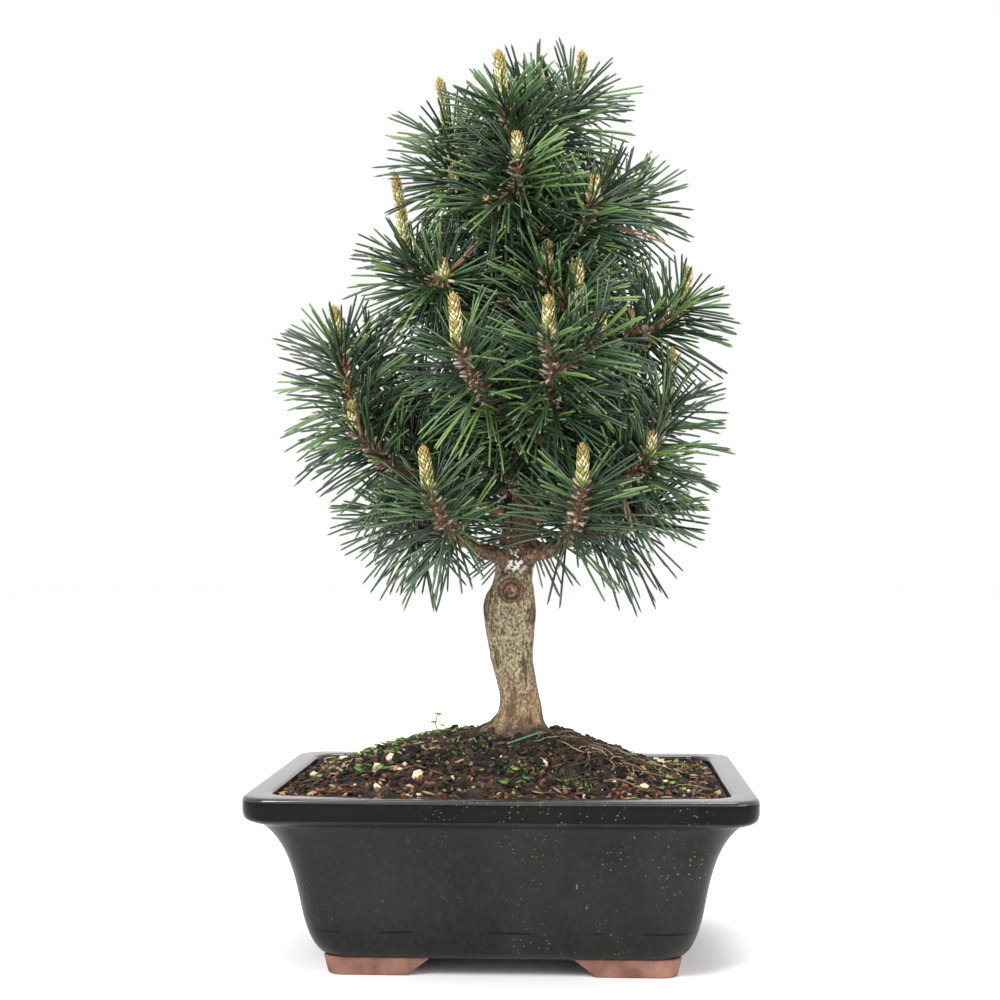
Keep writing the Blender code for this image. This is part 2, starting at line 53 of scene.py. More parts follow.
# Half the mouth's width and depth
MOUTH = np.array((POT_WIDTH, POT_DEPTH)) / 2 - MOUTH_INSET
WALL, FLOOR = 8 * MM, 9 * MM
WALL_WAVE, WALL_WAVE_LENGTH = 0.25 * MM, 45 * MM
FOOT_HEIGHT, FOOT_ARM, FOOT_CORNER = 9.4 * MM, 14 * MM, 8 * MM
FOOT_INSET, FOOT_TOP_INSET = 37.7 * MM, 35.6 * MM
FOOT_START, FOOT_TOP_START = (47 * MM, 30 * MM), (35 * MM, 18 * MM)
FOOT_ROUND = 0.9 * MM
DRAIN_RADIUS, DRAIN_PLACE = 8 * MM, 42 * MM
# Inset and height of the profile's main points
BASE, WAIST, COVE = (35.2 * MM, FOOT_HEIGHT), (24.5 * MM, 36 * MM), (8.5 * MM, 77.5 * MM)
CRACK_HEIGHT = 23.8 * MM

# Soil
SOIL_EDGE, GROUND = POT_HEIGHT - 3.5 * MM, 113 * MM
SOIL_UNDER = SOIL_EDGE - 12 * MM
MOUND_POWER, MOUND_SKEW, PLATEAU_SHARE = 1.8, 0.5, 0.23
SOIL_COLUMNS, SOIL_ROWS = 150, 110
TRUNK_CLEARANCE = 19 * MM
GRAIN_SQUASH, GRAIN_ROUGHNESS, GRAIN_LIFT = np.array((1.0, 0.8, 0.65)), 0.22, 0.35

# Trunk and limbs
LEADER_RIGHT = 10 * MM
TRUNK_SIDES, TRUNK_STEP = 120, 0.75 * MM
ROOT_LOBES, ROOT_LOBE_DEPTH, ROOT_LOBE_TURN = 5, 0.14, 1.0
ROOT_FADE = 12 * MM
WHORL = 203 * MM
SCAR, SCAR_RADIUS = MM * np.array((2.9, -12.6, 189.8)), 5.9 * MM
# Place and size of each
LENS_SCARS = MM * np.array((((-9.2, -8.0, 183), (2.4, 3.6, 8.5)), ((13.2, -7.5, 177), (2.0, 3.0, 5.2))))
PASTE = MM * np.array((5.0, -11, 205))
GIRDLE = 157 * MM
BOUGH_SIDES, BOUGH_RINGS = 14, 26
BOUGH_STEPS, STEM_STEPS, STEM_RINGS = 4, 3, 14
BOUGH_RISE, BEND_PULL = 0.35, 0.38
STEM_STUB, STEM_RADIUS, STEM_TIP_RADIUS = 2.5 * MM, 2.0 * MM, 2.3 * MM
CANDLE_LEAN, CANDLE_RADIUS = 7.0, 2.6 * MM
# Where the inner twigs leave a bough, out of its steps, and to which side
INNER_STEPS, INNER_PLACES = 21, ((11, 1), (16, -1))
INNER_TWIG, LEADER_TWIGS = 19 * MM, 12
LEADER_TWIG_ZONE = (232 * MM, 372 * MM)
SPUR_STEP = 0.36 * MM

# Needles
NEEDLE, NEEDLE_RADIUS, NEEDLE_ZONE = 35.5 * MM, 0.7 * MM, 54 * MM
NEEDLE_STEPS = np.array((0, 0.35, 0.7, 0.95, 1.0))
PAIR_STEP, PAIR_OPEN = 0.7 * MM, 0.075
TIP_ANGLE, FOOT_ANGLE, ANGLE_SPREAD = 45.0, 90.0, 8.0
SPENT_SHARE, YELLOW_TIP_SHARE, PALE_SHEATH_SHARE = 0.008, 0.4, 0.45
LIMB_CLEARANCE = 1.0 * MM

# Stage
FLOOR_REACH = 8.0
CAMERA_PLACE, CAMERA_TILT, CAMERA_TURN = (0.03856, -0.8864, 0.2123), 91.645, 2.717
SENSOR_WIDTH, FOCAL_LENGTH = 36, 59.9

# Height, distance to the right, distance to the back and radius at each ring of the trunk
TRUNK = MM * np.array((
    (113, 4.0, 0.0, 20.0),
    (116, 4.0, 0.0, 17.4),
    (120, 5.4, 0.0, 13.8),
    (126, 7.2, 0.0, 11.2),
    (134, 6.9, 0.0, 10.2),
    (143, 5.2, -0.5, 10.4),
    (152, 2.8, -1.0, 11.0),
    (162, 2.1, -1.5, 12.1),
    (172, 1.8, -1.5, 13.4),
    (180, 1.6, -1.5, 13.9),
    (188, 2.2, -1.0, 12.5),
    (195, 3.4, -0.5, 9.9),
    (201, 4.4, 0.0, 9.7),
    (207, 4.8, 0.0, 10.8),
    (214, 5.6, 0.0, 8.9),
    (224, 6.8, 0.0, 8.4),
    (238, 9.8, 0.5, 7.5),
    (265, 11.6, 1.0, 6.6),
    (300, 11.6, 0.5, 5.6),
    (335, 11.0, -1.0, 4.7),
    (365, 9.8, -2.0, 3.9),
    (392, 8.2, -2.0, 3.0),
))

# The limbs and shoots grow by the same rule and from the same figures as the solids, in millimetres and
# degrees. A shoot is its bearing, reach, height and length of candle.
Limb = namedtuple("Limb", "name leaves bearing reach height radius shoots")
LEFT_SHOOTS = ((199, 92, 272, 16), (188, 99, 320, 20), (174, 64, 286, 12), (175, 84, 317, 11))
LIMBS = [Limb(*row) for row in (
    ("low_left", 205, 225, 42, 216, 4.2, ((229, 72, 242, 21),)),
    ("low_right", 206, 303, 38, 217, 4.4, ((298, 64, 244, 20),)),
    ("low_left_back", 207, 163, 40, 217, 3.8, ((163, 82, 236, 12), (130, 66, 240, 14))),
    ("low_back", 208, 86, 32, 217, 3.8, ((100, 64, 240, 16), (70, 64, 246, 18))),
    ("low_right_back", 209, 25, 34, 218, 3.8, ((19, 74, 238, 11), (42, 70, 252, 15))),
    ("left", 228, 192, 42, 246, 4.2, LEFT_SHOOTS),
    ("right", 226, 345, 36, 244, 4.2, ((334, 72, 259, 12), (351, 76, 290, 27))),
    ("inner_left", 238, 226, 14, 244, 2.6, ((224, 26, 257, 16),)),
    ("left_back", 250, 140, 34, 264, 3.4, ((146, 76, 290, 17), (122, 66, 286, 15))),
    ("right_back", 252, 42, 32, 264, 3.4, ((38, 76, 290, 18), (62, 66, 284, 14))),
    ("front_left", 262, 248, 28, 280, 3.6, ((242, 68, 314, 25),)),
    ("front_right", 256, 293, 36, 280, 3.8, ((282, 65, 319, 18), (307, 65, 318, 12))),
    ("right_upper", 292, 2, 40, 312, 3.4, ((1, 85, 343, 19), (338, 58, 326, 10))),
    ("back", 285, 92, 28, 300, 3.2, ((106, 64, 328, 18), (76, 64, 334, 16))),
    ("front_upper", 304, 300, 22, 318, 3.2, ((290, 36, 354, 16), (300, 55, 336, 22))),
    ("upper_left", 312, 176, 32, 334, 3.4, ((173, 65, 371, 46), (215, 50, 352, 10))),
    ("upper_left_back", 318, 135, 24, 336, 2.8, ((130, 58, 362, 17),)),
    ("upper_right_back", 326, 48, 22, 344, 2.8, ((46, 60, 366, 16),)),
    ("upper_right", 352, 8, 20, 372, 3.0, ((3, 43, 407, 16), (24, 64, 401, 14))),
    ("top_left", 364, 170, 18, 386, 2.8, ((162, 45, 437, 33), (205, 40, 404, 10))),
    ("top_back", 362, 88, 15, 382, 2.8, ((92, 42, 412, 16),)),
    ("upper_front_right", 344, 330, 18, 362, 2.8, ((322, 46, 392, 13),)),
    ("top_front", 366, 262, 14, 386, 2.8, ((266, 38, 413, 12), (238, 34, 388, 9))),
)]
TOP_SHOOTS = ((241, 23, 448, 25), (343, 7, 452, 19), (26, 32, 459, 24), (100, 26, 444, 15))


# Meshes


def unit(vectors):
    return vectors / np.maximum(np.linalg.norm(vectors, axis=-1, keepdims=True), 1e-12)


def link(name, data):
    made = bpy.data.objects.new(name, data)
    bpy.context.scene.collection.objects.link(made)
    return made


def show(name, mesh, replaced=()):
    piece = link(name, mesh)
    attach(piece, "root")
    if replaced:
        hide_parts(*replaced)
    return piece


class Heap:
    """Triangles gathered from many small shapes, each with the number of its material."""

    def __init__(self):
        self.points, self.faces, self.tints = [], [], []
        self.count = 0

    def add(self, points, faces, tints=0):
        self.points.append(np.asarray(points, float).reshape(-1, 3))
        self.faces.append(np.asarray(faces) + self.count)
        self.tints.append(np.broadcast_to(tints, len(faces)))
        self.count += len(self.points[-1])

    def mesh(self, name, materials=(), smooth=True):
        mesh = bpy.data.meshes.new(name)
        mesh.from_pydata(np.concatenate(self.points), [], np.concatenate(self.faces), shade_flat=not smooth)
        for material in materials:
            mesh.materials.append(material)
        mesh.polygons.foreach_set("material_index", np.concatenate(self.tints).astype(np.int32))
        mesh.update()
        return mesh

    def build(self, name, materials, slot, replaced=(), smooth=True):
        return show(name, self.mesh(name, materials, smooth), replaced)


def grid_faces(rows, columns, wrap=True):
    """Two triangles for each cell of a grid of points, row by row, closed round its columns if wrapped."""
    row, column = np.meshgrid(np.arange(rows - 1), np.arange(columns if wrap else columns - 1), indexing="ij")
    here = row * columns + column
    beside = row * columns + (column + 1) % columns
    first = np.stack((here, beside, beside + columns), -1)
    second = np.stack((here, beside + columns, here + columns), -1)
    return np.stack((first, second), 2).reshape(-1, 3)


def fan(ring):
    """Triangles that close a ring of points, the first of them shared by all."""
    return [(ring[0], ring[i], ring[i + 1]) for i in range(1, len(ring) - 1)]


def tube_faces(rings, sides):
    """Faces of one closed tube, and the number of the ring that each starts from."""
    caps = fan(range(sides)[::-1]) + fan(range((rings - 1) * sides, rings * sides))
    along = np.repeat(np.arange(rings - 1), 2 * sides)
    along_caps = np.repeat((0, rings - 2), sides - 2)
    return np.concatenate((grid_faces(rings, sides), caps)), np.concatenate((along, along_caps))


def double_fan(count):
    """Faces of a ring of points that is closed by one point above it and one below."""
    sides = [(i, (i + 1) % count) for i in range(count)]
    above = [(here, beside, count) for here, beside in sides]
    below = [(beside, here, count + 1) for here, beside in sides]
    return np.array(above + below)


def add_tubes(heap, lines, radii, sides, tints=0, flatness=1.0):
    """Adds a closed tube along each of many lines. Radii and tints fit a table of tubes by rings."""
    lines = np.asarray(lines, float)
    count, rings = lines.shape[:2]
    ahead = unit(np.gradient(lines, axis=1))
    upright = np.abs(ahead[:, :1, 2:]) > 0.9
    across = unit(np.cross(np.where(upright, (1.0, 0.0, 0.0), (0.0, 0.0, 1.0)), ahead))
    beside = flatness * np.cross(ahead, across)
    turns = (math.tau * np.arange(sides) / sides)[:, None]
    out = np.cos(turns) * across[:, :, None] + np.sin(turns) * beside[:, :, None]
    points = lines[:, :, None] + np.broadcast_to(radii, (count, rings))[..., None, None] * out
    faces, along = tube_faces(rings, sides)
    every_face = faces + (np.arange(count) * rings * sides)[:, None, None]
    heap.add(points, every_face.reshape(-1, 3), np.broadcast_to(tints, (count, rings))[:, along].ravel())


def between(shares, run, rows):
    """Values between a table's rows, at places along its run."""
    return np.stack([np.interp(shares, run, column) for column in rows.T], -1)


def resample(path, count):
    """Points at even distances along a path, and its length."""
    path = np.array(path)
    run = np.concatenate(([0], np.cumsum(np.linalg.norm(np.diff(path, axis=0), axis=1))))
    return between(np.linspace(0, run[-1], count), run, path), run[-1]


def lumps(points, scale, seed=0.0):
    """Smooth noise between about -1 and 1 at many points, its grains as long as the scale."""
    offset = Vector((seed, seed * 1.7, -seed))
    return np.array([noise.noise(Vector(point) / scale + offset) for point in points])


def hump(distance, width):
    """1 at no distance, and fading away over the width."""
    return np.exp(-((distance / width) ** 2))


# Materials


class Look:
    """A material's nodes. Its base is the colour so far, and every coat goes over that."""

    def __init__(self, name, colour, roughness, **values):
        self.material = bpy.data.materials.new(name)
        self.material.use_nodes = True
        self.tree = self.material.node_tree
        self.shader = self.tree.nodes["Principled BSDF"]
        for key, value in {"Base_Color": (*colour, 1), "Roughness": roughness, **values}.items():
            self.feed(self.shader, key, value)
        self.place = self.node("ShaderNodeTexCoord", out="Object")

    def feed(self, node, key, value):
        """Links or sets one input, by its number or its name."""
        socket = node.inputs[key if isinstance(key, int) else key.replace("_", " ")]
        if isinstance(value, bpy.types.NodeSocket):
            self.tree.links.new(value, socket)
        else:
            socket.default_value = value

    def node(self, kind, *feeds, out=0, settings=None, **inputs):
        """One output of a new node, whose inputs are given in order or by name."""
        made = self.tree.nodes.new(kind)
        for key, value in (settings or {}).items():
            setattr(made, key, value)
        for key, value in [*enumerate(feeds), *inputs.items()]:
            self.feed(made, key, value)
        return made.outputs[out]

    def axis(self, name):
        return self.node("ShaderNodeSeparateXYZ", self.place, out=name)

    def noise(self, scale, detail, upright=1.0):
        """Noise whose grains are drawn out along the height where the last number is below 1."""
        place = self.place
        if upright != 1.0:
            place = self.node("ShaderNodeMapping", place, Scale=(1, 1, upright))
        return self.node("ShaderNodeTexNoise", place, Scale=scale, Detail=detail)

    def maths(self, operation, *feeds):
        return self.node("ShaderNodeMath", *feeds, settings={"operation": operation})

    def both(self, first, second):
        return self.maths("MULTIPLY", first, second)

    def spread(self, value, low, high, to_low, to_high):
        return self.node("ShaderNodeMapRange", value, low, high, to_low, to_high)

    def rising(self, value, low, high, full=1.0):
        return self.spread(value, low, high, 0.0, full)

    def falling(self, value, low, high, full=1.0):
        return self.spread(value, low, high, full, 0.0)

    def patches(self, scale, detail, low, high, full=1.0, upright=1.0):
        """A mask of blotches, from none at the noise's low level to full at its high one."""
        return self.rising(self.noise(scale, detail, upright), low, high, full)

    def specks(self, scale, inner, outer, full=1.0):
        """A mask of small dots, one in each cell."""
        return self.falling(self.node("ShaderNodeTexVoronoi", self.place, Scale=scale), inner, outer, full)

    def line(self, value, level, inner, outer, full=1.0):
        """A mask of a line where the value meets a level."""
        gap = self.maths("ABSOLUTE", self.maths("SUBTRACT", value, level))
        return self.falling(gap, inner, outer, full)

    def oval(self, point, size=(1, 1, 1)):
        """Distance from a point, measured in an oval's own radii."""
        scale = [1 / length for length in size]
        back = [-place * times for place, times in zip(point, scale)]
        moved = self.node("ShaderNodeMapping", self.place, Location=back, Scale=scale)
        return self.node("ShaderNodeVectorMath", moved, out="Value", settings={"operation": "LENGTH"})

    def near(self, point, inner, outer):
        return self.falling(self.oval(point), inner, outer)

    def mix(self, share, *colours):
        colours = [part if isinstance(part, bpy.types.NodeSocket) else (*part, 1) for part in colours]
        made = self.node("ShaderNodeMix", share, out=2, settings={"data_type": "RGBA"})
        for key, colour in zip((6, 7), colours):
            self.feed(made.node, key, colour)
        return made

    def ground(self, share, dark, light):
        self.base = self.mix(share, dark, light)

    def coat(self, what, share, colour):
        """Lays a colour over the base, and names its node after what it shows."""
        self.base = self.mix(share, self.base, colour)
        self.base.node.label = what

    def finish(self, height, strength, distance):
        """The material, coloured by its coats and raised by the height."""
        bump = self.node("ShaderNodeBump", Strength=strength, Distance=distance, Height=height)
        self.feed(self.shader, "Normal", bump)
        self.feed(self.shader, "Base Color", self.base)
        return self.material


def glaze_look(name, roughness, specular, coat, shade=0.0):
    """Near-black glaze with a faint green cast, painted sheen, pale specks, fine scratches and a few dark
    cracks.
    """
    shine = {"Specular_IOR_Level": specular, "Coat_Weight": coat, "Coat_Roughness": 0.06}
    look = Look(name, (0.01, 0.011, 0.01), roughness, **shine)
    rightwards = look.spread(look.axis("X"), -60 * MM, 90 * MM, 0.25, 1.0)
    look.ground(look.patches(22, 5, 0.35, 0.7), (0.0045, 0.0052, 0.0048), (0.013, 0.0135, 0.012))
    # Painted sheen: lighter upright bands that stand for the glaze's gloss.
    look.coat("painted_sheen_streaks", look.patches(30, 3, 0.52, 0.72, 0.6, 0.25), (0.02, 0.0205, 0.0195))
    look.coat("mottle", look.patches(420, 6, 0.45, 0.75, 0.5, 0.5), (0.024, 0.0235, 0.022))
    # Painted shade: with a share above 0 this darkens the glaze, which makes the band's darker copy.
    look.coat("shade", shade, (0.002, 0.0023, 0.0021))
    speckled = look.both(look.patches(40, 4, 0.5, 0.6), rightwards)
    look.coat("pale specks", look.both(look.specks(420, 0.06, 0.2), speckled), (0.3, 0.23, 0.14))
    gritty = look.both(look.patches(55, 3, 0.5, 0.58), rightwards)
    look.coat("fine grit", look.both(look.specks(1100, 0.05, 0.16, 0.7), gritty), (0.27, 0.23, 0.17))
    scratches = look.both(look.patches(462, 3, 0.72, 0.76, 1.0, 0.25), look.patches(17, 2, 0.5, 0.58, 0.6))
    look.coat("scratches", scratches, (0.3, 0.25, 0.17))
    wander = look.spread(look.noise(45, 3), 0.0, 1.0, -1.2 * MM, 1.2 * MM)
    crack = look.line(look.maths("ADD", look.axis("Z"), wander), CRACK_HEIGHT, 0.35 * MM, 0.7 * MM)
    look.coat("crack", look.both(crack, look.patches(26, 2, 0.47, 0.51, 1.0, 0.1)), (0.0006, 0.0006, 0.0006))
    return look.finish(look.noise(60, 3), 0.12, 0.6 * MM)


def terracotta_look():
    look = Look("terracotta", (0.3, 0.14, 0.1), 0.85)
    look.ground(look.patches(70, 6, 0.35, 0.68), (0.17, 0.072, 0.05), (0.34, 0.175, 0.13))
    look.coat("sand", look.specks(1200, 0.05, 0.3, 0.35), (0.5, 0.3, 0.2))
    return look.finish(look.noise(900, 5), 0.5, 0.4 * MM)


def bark_look():
    """Tan and olive bark below the whorl and dark brown above, with its scars and a smear of paste."""
    look = Look("bark", (0.33, 0.27, 0.19), 0.88)
    height = look.axis("Z")
    fine = look.noise(800, 6, 0.7)
    look.ground(look.patches(80, 5, 0.36, 0.66, 1.0, 0.6), (0.17, 0.12, 0.06), (0.36, 0.28, 0.165))
    look.coat("olive patches", look.patches(30, 3, 0.46, 0.66, 0.7), (0.23, 0.22, 0.125))
    look.coat("pale scales", look.rising(fine, 0.5, 0.66, 0.7), (0.6, 0.52, 0.37))
    look.coat("dark grain", look.falling(fine, 0.35, 0.48, 0.9), (0.055, 0.034, 0.018))
    cracks = look.falling(look.noise(240, 3, 0.16), 0.38, 0.46)
    look.coat("cracks", look.both(cracks, look.spread(height, 0.12, 0.2, 0.95, 0.25)), (0.03, 0.018, 0.01))
    look.coat("pits", look.specks(300, 0.12, 0.24, 0.9), (0.04, 0.026, 0.016))
    look.coat("red root collar", look.falling(height, 0.118, 0.15, 0.5), (0.26, 0.13, 0.055))
    level = look.maths("ADD", height, look.spread(look.noise(150, 5), 0.3, 0.7, -6 * MM, 6 * MM))
    dark_bark = look.mix(look.rising(fine, 0.4, 0.6), (0.022, 0.014, 0.009), (0.15, 0.09, 0.052))
    look.coat("dark bark above the whorl", look.rising(level, 0.196, 0.202), dark_bark)
    look.coat("earth at the foot", look.falling(level, 0.1145, 0.125, 0.92), (0.025, 0.016, 0.01))
    wood = look.mix(look.rising(fine, 0.4, 0.62), (0.07, 0.03, 0.018), (0.3, 0.155, 0.085))
    heart = look.mix(look.rising(fine, 0.42, 0.56), (0.05, 0.035, 0.027), (0.38, 0.31, 0.24))
    wood = look.mix(look.near(SCAR, 1.5 * MM, 3.6 * MM), wood, heart)
    look.coat("cut wood", look.near(SCAR, SCAR_RADIUS, SCAR_RADIUS + 1.5 * MM), wood)
    from_scar = look.oval(SCAR, [SCAR_RADIUS] * 3)
    look.coat("ring in the scar", look.line(from_scar, 0.72, 0.04, 0.12, 0.75), (0.035, 0.02, 0.012))
    look.coat("ring round the lip", look.line(from_scar, 1.16, 0.03, 0.1, 0.7), (0.05, 0.03, 0.018))
    for place, size in LENS_SCARS:
        from_lens = look.oval(place, size)
        look.coat("lens outline", look.line(from_lens, 1.0, 0.1, 0.3, 0.85), (0.06, 0.036, 0.02))
        look.coat("lens", look.falling(from_lens, 0.6, 0.9, 0.5), (0.14, 0.085, 0.045))
    flakes = look.both(look.patches(420, 5, 0.5, 0.54), look.near(PASTE, 3 * MM, 9 * MM))
    look.coat("paste", flakes, (0.8, 0.79, 0.72))
    return look.finish(fine, 0.8, 0.9 * MM)


def wood_look(name, dark, light):
    """Scaly bark of boughs and twigs."""
    look = Look(name, light, 0.86)
    grain = look.noise(520, 5)
    look.ground(look.rising(grain, 0.38, 0.62), dark, light)
    look.coat("pale scales", look.patches(240, 4, 0.6, 0.72, 0.75), [2.1 * part + 0.05 for part in light])
    return look.finish(grain, 0.7, 0.7 * MM)


def plain_look(name, colour, roughness, variety=0.25):
    """A tint with a little variety and a fine grain."""
    look = Look(name, colour, roughness)
    dark, light = ([part * (1 + way * variety) for part in colour] for way in (-1, 1))
    look.ground(look.patches(600, 3, 0.3, 0.7), dark, light)
    return look.finish(look.noise(900, 3), 0.25, 0.3 * MM)


def plain_looks(*rows):
    return [plain_look(*row) for row in rows]


def needle_look(name, colour):
    """A needle's tint, a plain colour with a waxy shine."""
    return Look(name, colour, 0.32, Specular_IOR_Level=0.8).material


def earth_look():
    look = Look("earth", (0.03, 0.02, 0.014), 0.95)
    crumbs = look.noise(260, 6)
    look.ground(look.rising(crumbs, 0.35, 0.65), (0.008, 0.0055, 0.004), (0.06, 0.038, 0.024))
    look.coat("light grains", look.specks(420, 0.05, 0.25, 0.5), (0.11, 0.065, 0.038))
    return look.finish(crumbs, 1.0, 1.5 * MM)


# Pot


def pot_ring(inset, height):
    """A rounded rectangle inside the rim's outer face by the inset, with points along its sides too."""
    centre = np.array((POT_WIDTH, POT_DEPTH)) / 2 - inset - POT_CORNER
    corners = []
    for quarter, sides in enumerate(((1, 1), (-1, 1), (-1, -1), (1, -1))):
        turns = np.radians(90 * (quarter + np.linspace(0, 1, CORNER_STEPS + 1)))
        corners.append(centre * sides + POT_CORNER * np.stack((np.cos(turns), np.sin(turns)), 1))
    shares = np.linspace(0, 1, SIDE_STEPS + 1)[1:-1, None]
    ring = []
    for here, beyond in zip(corners, corners[1:] + corners[:1]):
        ring += [here, here[-1] + shares * (beyond[0] - here[-1])]
    ring = np.concatenate(ring)
    return np.column_stack((ring, np.full(len(ring), height)))


def curve(*points, steps):
    """A smooth curve between the outer two points, drawn towards the inner two."""
    ends = [Vector((*point, 0)) for point in points]
    return [(point.x, point.y) for point in interpolate_bezier(*ends, steps)]


def quarter_round(inset, start):
    """One of the rim's two rounded edges, clockwise from its first angle."""
    turns = np.radians(np.linspace(start, start - 90, 6))
    level = POT_HEIGHT - RIM_ROUND
    return [(inset + RIM_ROUND * math.cos(turn), level + RIM_ROUND * math.sin(turn)) for turn in turns]


def pot_profile():
    """Inset and height: up the wall, over the moulding, the band and the top, and down the inside."""
    body = curve(BASE, (30 * MM, 12.5 * MM), (26.5 * MM, 24 * MM), WAIST, steps=14)
    body += curve(WAIST, (21.5 * MM, 54 * MM), (18 * MM, 68 * MM), COVE, steps=16)[1:]
    band_foot, floor_height = POT_HEIGHT - RIM_BAND, FOOT_HEIGHT + FLOOR
    cove = curve(COVE, (7 * MM, 79 * MM), (1 * MM, 79.5 * MM), (0.4 * MM, band_foot - 1 * MM), steps=8)
    top = quarter_round(RIM_ROUND, 180) + quarter_round(MOUTH_INSET - RIM_ROUND, 90)
    wall = [(inset + WALL, height) for inset, height in reversed(body) if height > floor_height]
    outside = [*body, *cove[1:], (0, band_foot + 1.5 * MM), *top]
    return [*outside, (MOUTH_INSET, band_foot), *wall, (BASE[0] + 2 * MM, floor_height)]


def make_pot():
    """The pot in one glaze for its body, one for its rim's top and, for the band, a copy darkened by painted
    shade.
    """
    profile = pot_profile()
    rings = np.array([pot_ring(*place) for place in profile])
    points = rings.reshape(-1, 3)
    share = np.clip((points[:, 2] - COVE[1]) / (POT_HEIGHT - COVE[1]), 0, 1)
    points[:, 2] -= RIM_SAG * share * (1 - (points[:, 0] / (POT_WIDTH / 2)) ** 2)
    points[:, :2] += (WALL_WAVE * lumps(points, WALL_WAVE_LENGTH))[:, None] * unit(points[:, :2])
    faces, along = tube_faces(*rings.shape[:2])
    band = next(number for number, (inset, _) in enumerate(profile) if inset < 1 * MM)
    top = [number for number, (_, height) in enumerate(profile) if height >= POT_HEIGHT - RIM_ROUND]
    zone = np.searchsorted((band, top[0], top[-1]), along, side="right")
    heap = Heap()
    body_glaze, rim_glaze, band_glaze = range(3)
    heap.add(points, faces, np.array((body_glaze, band_glaze, rim_glaze, body_glaze))[zone])
    looks = [
        glaze_look("glaze_body", 0.36, 0.2, 0.0),
        glaze_look("glaze_rim", 0.2, 0.55, 0.5),
        # The band's glaze is the body's glaze darkened by painted shade.
        glaze_look("glaze_band", 0.2, 0.09, 0.0, shade=0.7),
    ]
    pot = heap.build("pot_body", looks, "glaze", ["pot"])
    drains = Heap()
    for side in (1, -1):
        ends = [(side * DRAIN_PLACE, 0, z) for z in (0.5 * FOOT_HEIGHT, FOOT_HEIGHT + FLOOR + 3 * MM)]
        add_tubes(drains, [ends], DRAIN_RADIUS, 32)
    cutter = link("drain_cutter", drains.mesh("drain_cutter"))
    cut = pot.modifiers.new("drains", "BOOLEAN")
    cut.object = cutter
    cut.operation = "DIFFERENCE"
    graph = bpy.context.evaluated_depsgraph_get()
    finished = bpy.data.meshes.new_from_object(pot.evaluated_get(graph))
    pot.modifiers.clear()
    pot.data = finished
    bpy.data.objects.remove(cutter)
    finished.shade_smooth()
    finished.set_sharp_from_angle(angle=math.radians(50))


def foot_outline(side, end, inset, starts, height):
    """An L round one corner of the pot, anticlockwise from above."""
    far_x, far_y = POT_WIDTH / 2 - inset, POT_DEPTH / 2 - inset
    outline = [(starts[0], far_y - FOOT_ARM), (far_x - FOOT_ARM, far_y - FOOT_ARM)]
    outline += [(far_x - FOOT_ARM, starts[1]), (far_x, starts[1])]
    for turn in np.radians(np.linspace(0, 90, 9)):
        back_x, back_y = 1 - math.cos(turn), 1 - math.sin(turn)
        outline.append((far_x - FOOT_CORNER * back_x, far_y - FOOT_CORNER * back_y))
    outline.append((starts[0], far_y))
    ring = [Vector((side * x, end * y, height)) for x, y in outline]
    return ring if side * end > 0 else ring[::-1]


def make_feet():
    """Four unglazed corner feet, just under the glaze line."""
    points, faces = [], []
    for side, end in ((1, 1), (1, -1), (-1, 1), (-1, -1)):
        low = foot_outline(side, end, FOOT_INSET, FOOT_START, 0)
        high = foot_outline(side, end, FOOT_TOP_INSET, FOOT_TOP_START, FOOT_HEIGHT + 0.2 * MM)
        start, count = len(points), len(low)
        lower, upper = range(start, start + count), range(start + count, start + 2 * count)
        points += low + high
        faces += [lower[::-1], upper]
        for here, beside in zip(range(count), [*range(1, count), 0]):
            faces.append((lower[here], lower[beside], upper[beside], upper[here]))
    mesh = bpy.data.meshes.new("pot_feet")
    mesh.from_pydata(points, [], faces)
    mesh.materials.append(terracotta_look())
    feet = show("pot_feet", mesh)
    bevel = feet.modifiers.new("worn_edges", "BEVEL")
    bevel.width = FOOT_ROUND
    bevel.segments = 3
    mesh.shade_smooth()
    mesh.set_sharp_from_angle(angle=math.radians(40))


# Soil


def ground_height(x, y):
    """Height of the soil's mound over a place, from how far that is from the trunk towards the pot's wall."""
    foot = TRUNK[0, 1:3]
    away = np.stack((x, y), -1) - foot
    reach = MOUTH - np.sign(away) * foot
    share = np.clip(((away / reach) ** 4).sum(-1) ** 0.25, PLATEAU_SHARE, 1)
    climb = (1 - share**2) / (1 - PLATEAU_SHARE**2)
    steepness = MOUND_POWER + MOUND_SKEW * away[..., 0] / share / MOUTH[0]
    return SOIL_EDGE + (GROUND - SOIL_EDGE) * climb**steepness


def make_soil_bed():
    """A bed of dark earth with a rough surface, closed underneath, wall to wall in the pot."""
    half_width, half_depth = MOUTH - 0.4 * MM
    across, along = np.meshgrid(np.linspace(-1, 1, SOIL_COLUMNS), np.linspace(-1, 1, SOIL_ROWS))
    corner = np.abs(across * along) ** 6
    x, y = half_width * across * (1 - 0.022 * corner), half_depth * along * (1 - 0.03 * corner)
    top = np.stack((x, y, ground_height(x, y)), -1).reshape(-1, 3)
    edge = np.maximum(np.abs(across), np.abs(along)).ravel()
    relief = 1.6 * MM * lumps(top, 9 * MM) + 1.0 * MM * lumps(top, 3.5 * MM, 4.0)
    top[:, 2] += relief * np.clip((1 - edge) * 12, 0.2, 1)
    heap = Heap()
    heap.add(top, grid_faces(SOIL_ROWS, SOIL_COLUMNS, wrap=False))
    grid = np.arange(len(top)).reshape(SOIL_ROWS, SOIL_COLUMNS)
    border = top[np.concatenate((grid[0], grid[1:, -1], grid[-1, -2::-1], grid[-2:0:-1, 0]))]
    skirt = np.concatenate((border, border * (0.93, 0.91, 0) + (0, 0, SOIL_UNDER)))
    under = fan(range(len(border), len(skirt)))
    heap.add(skirt, np.concatenate((grid_faces(2, len(border))[:, ::-1], under)))
    heap.build("soil_bed", [earth_look()], "earth", ["soil"])


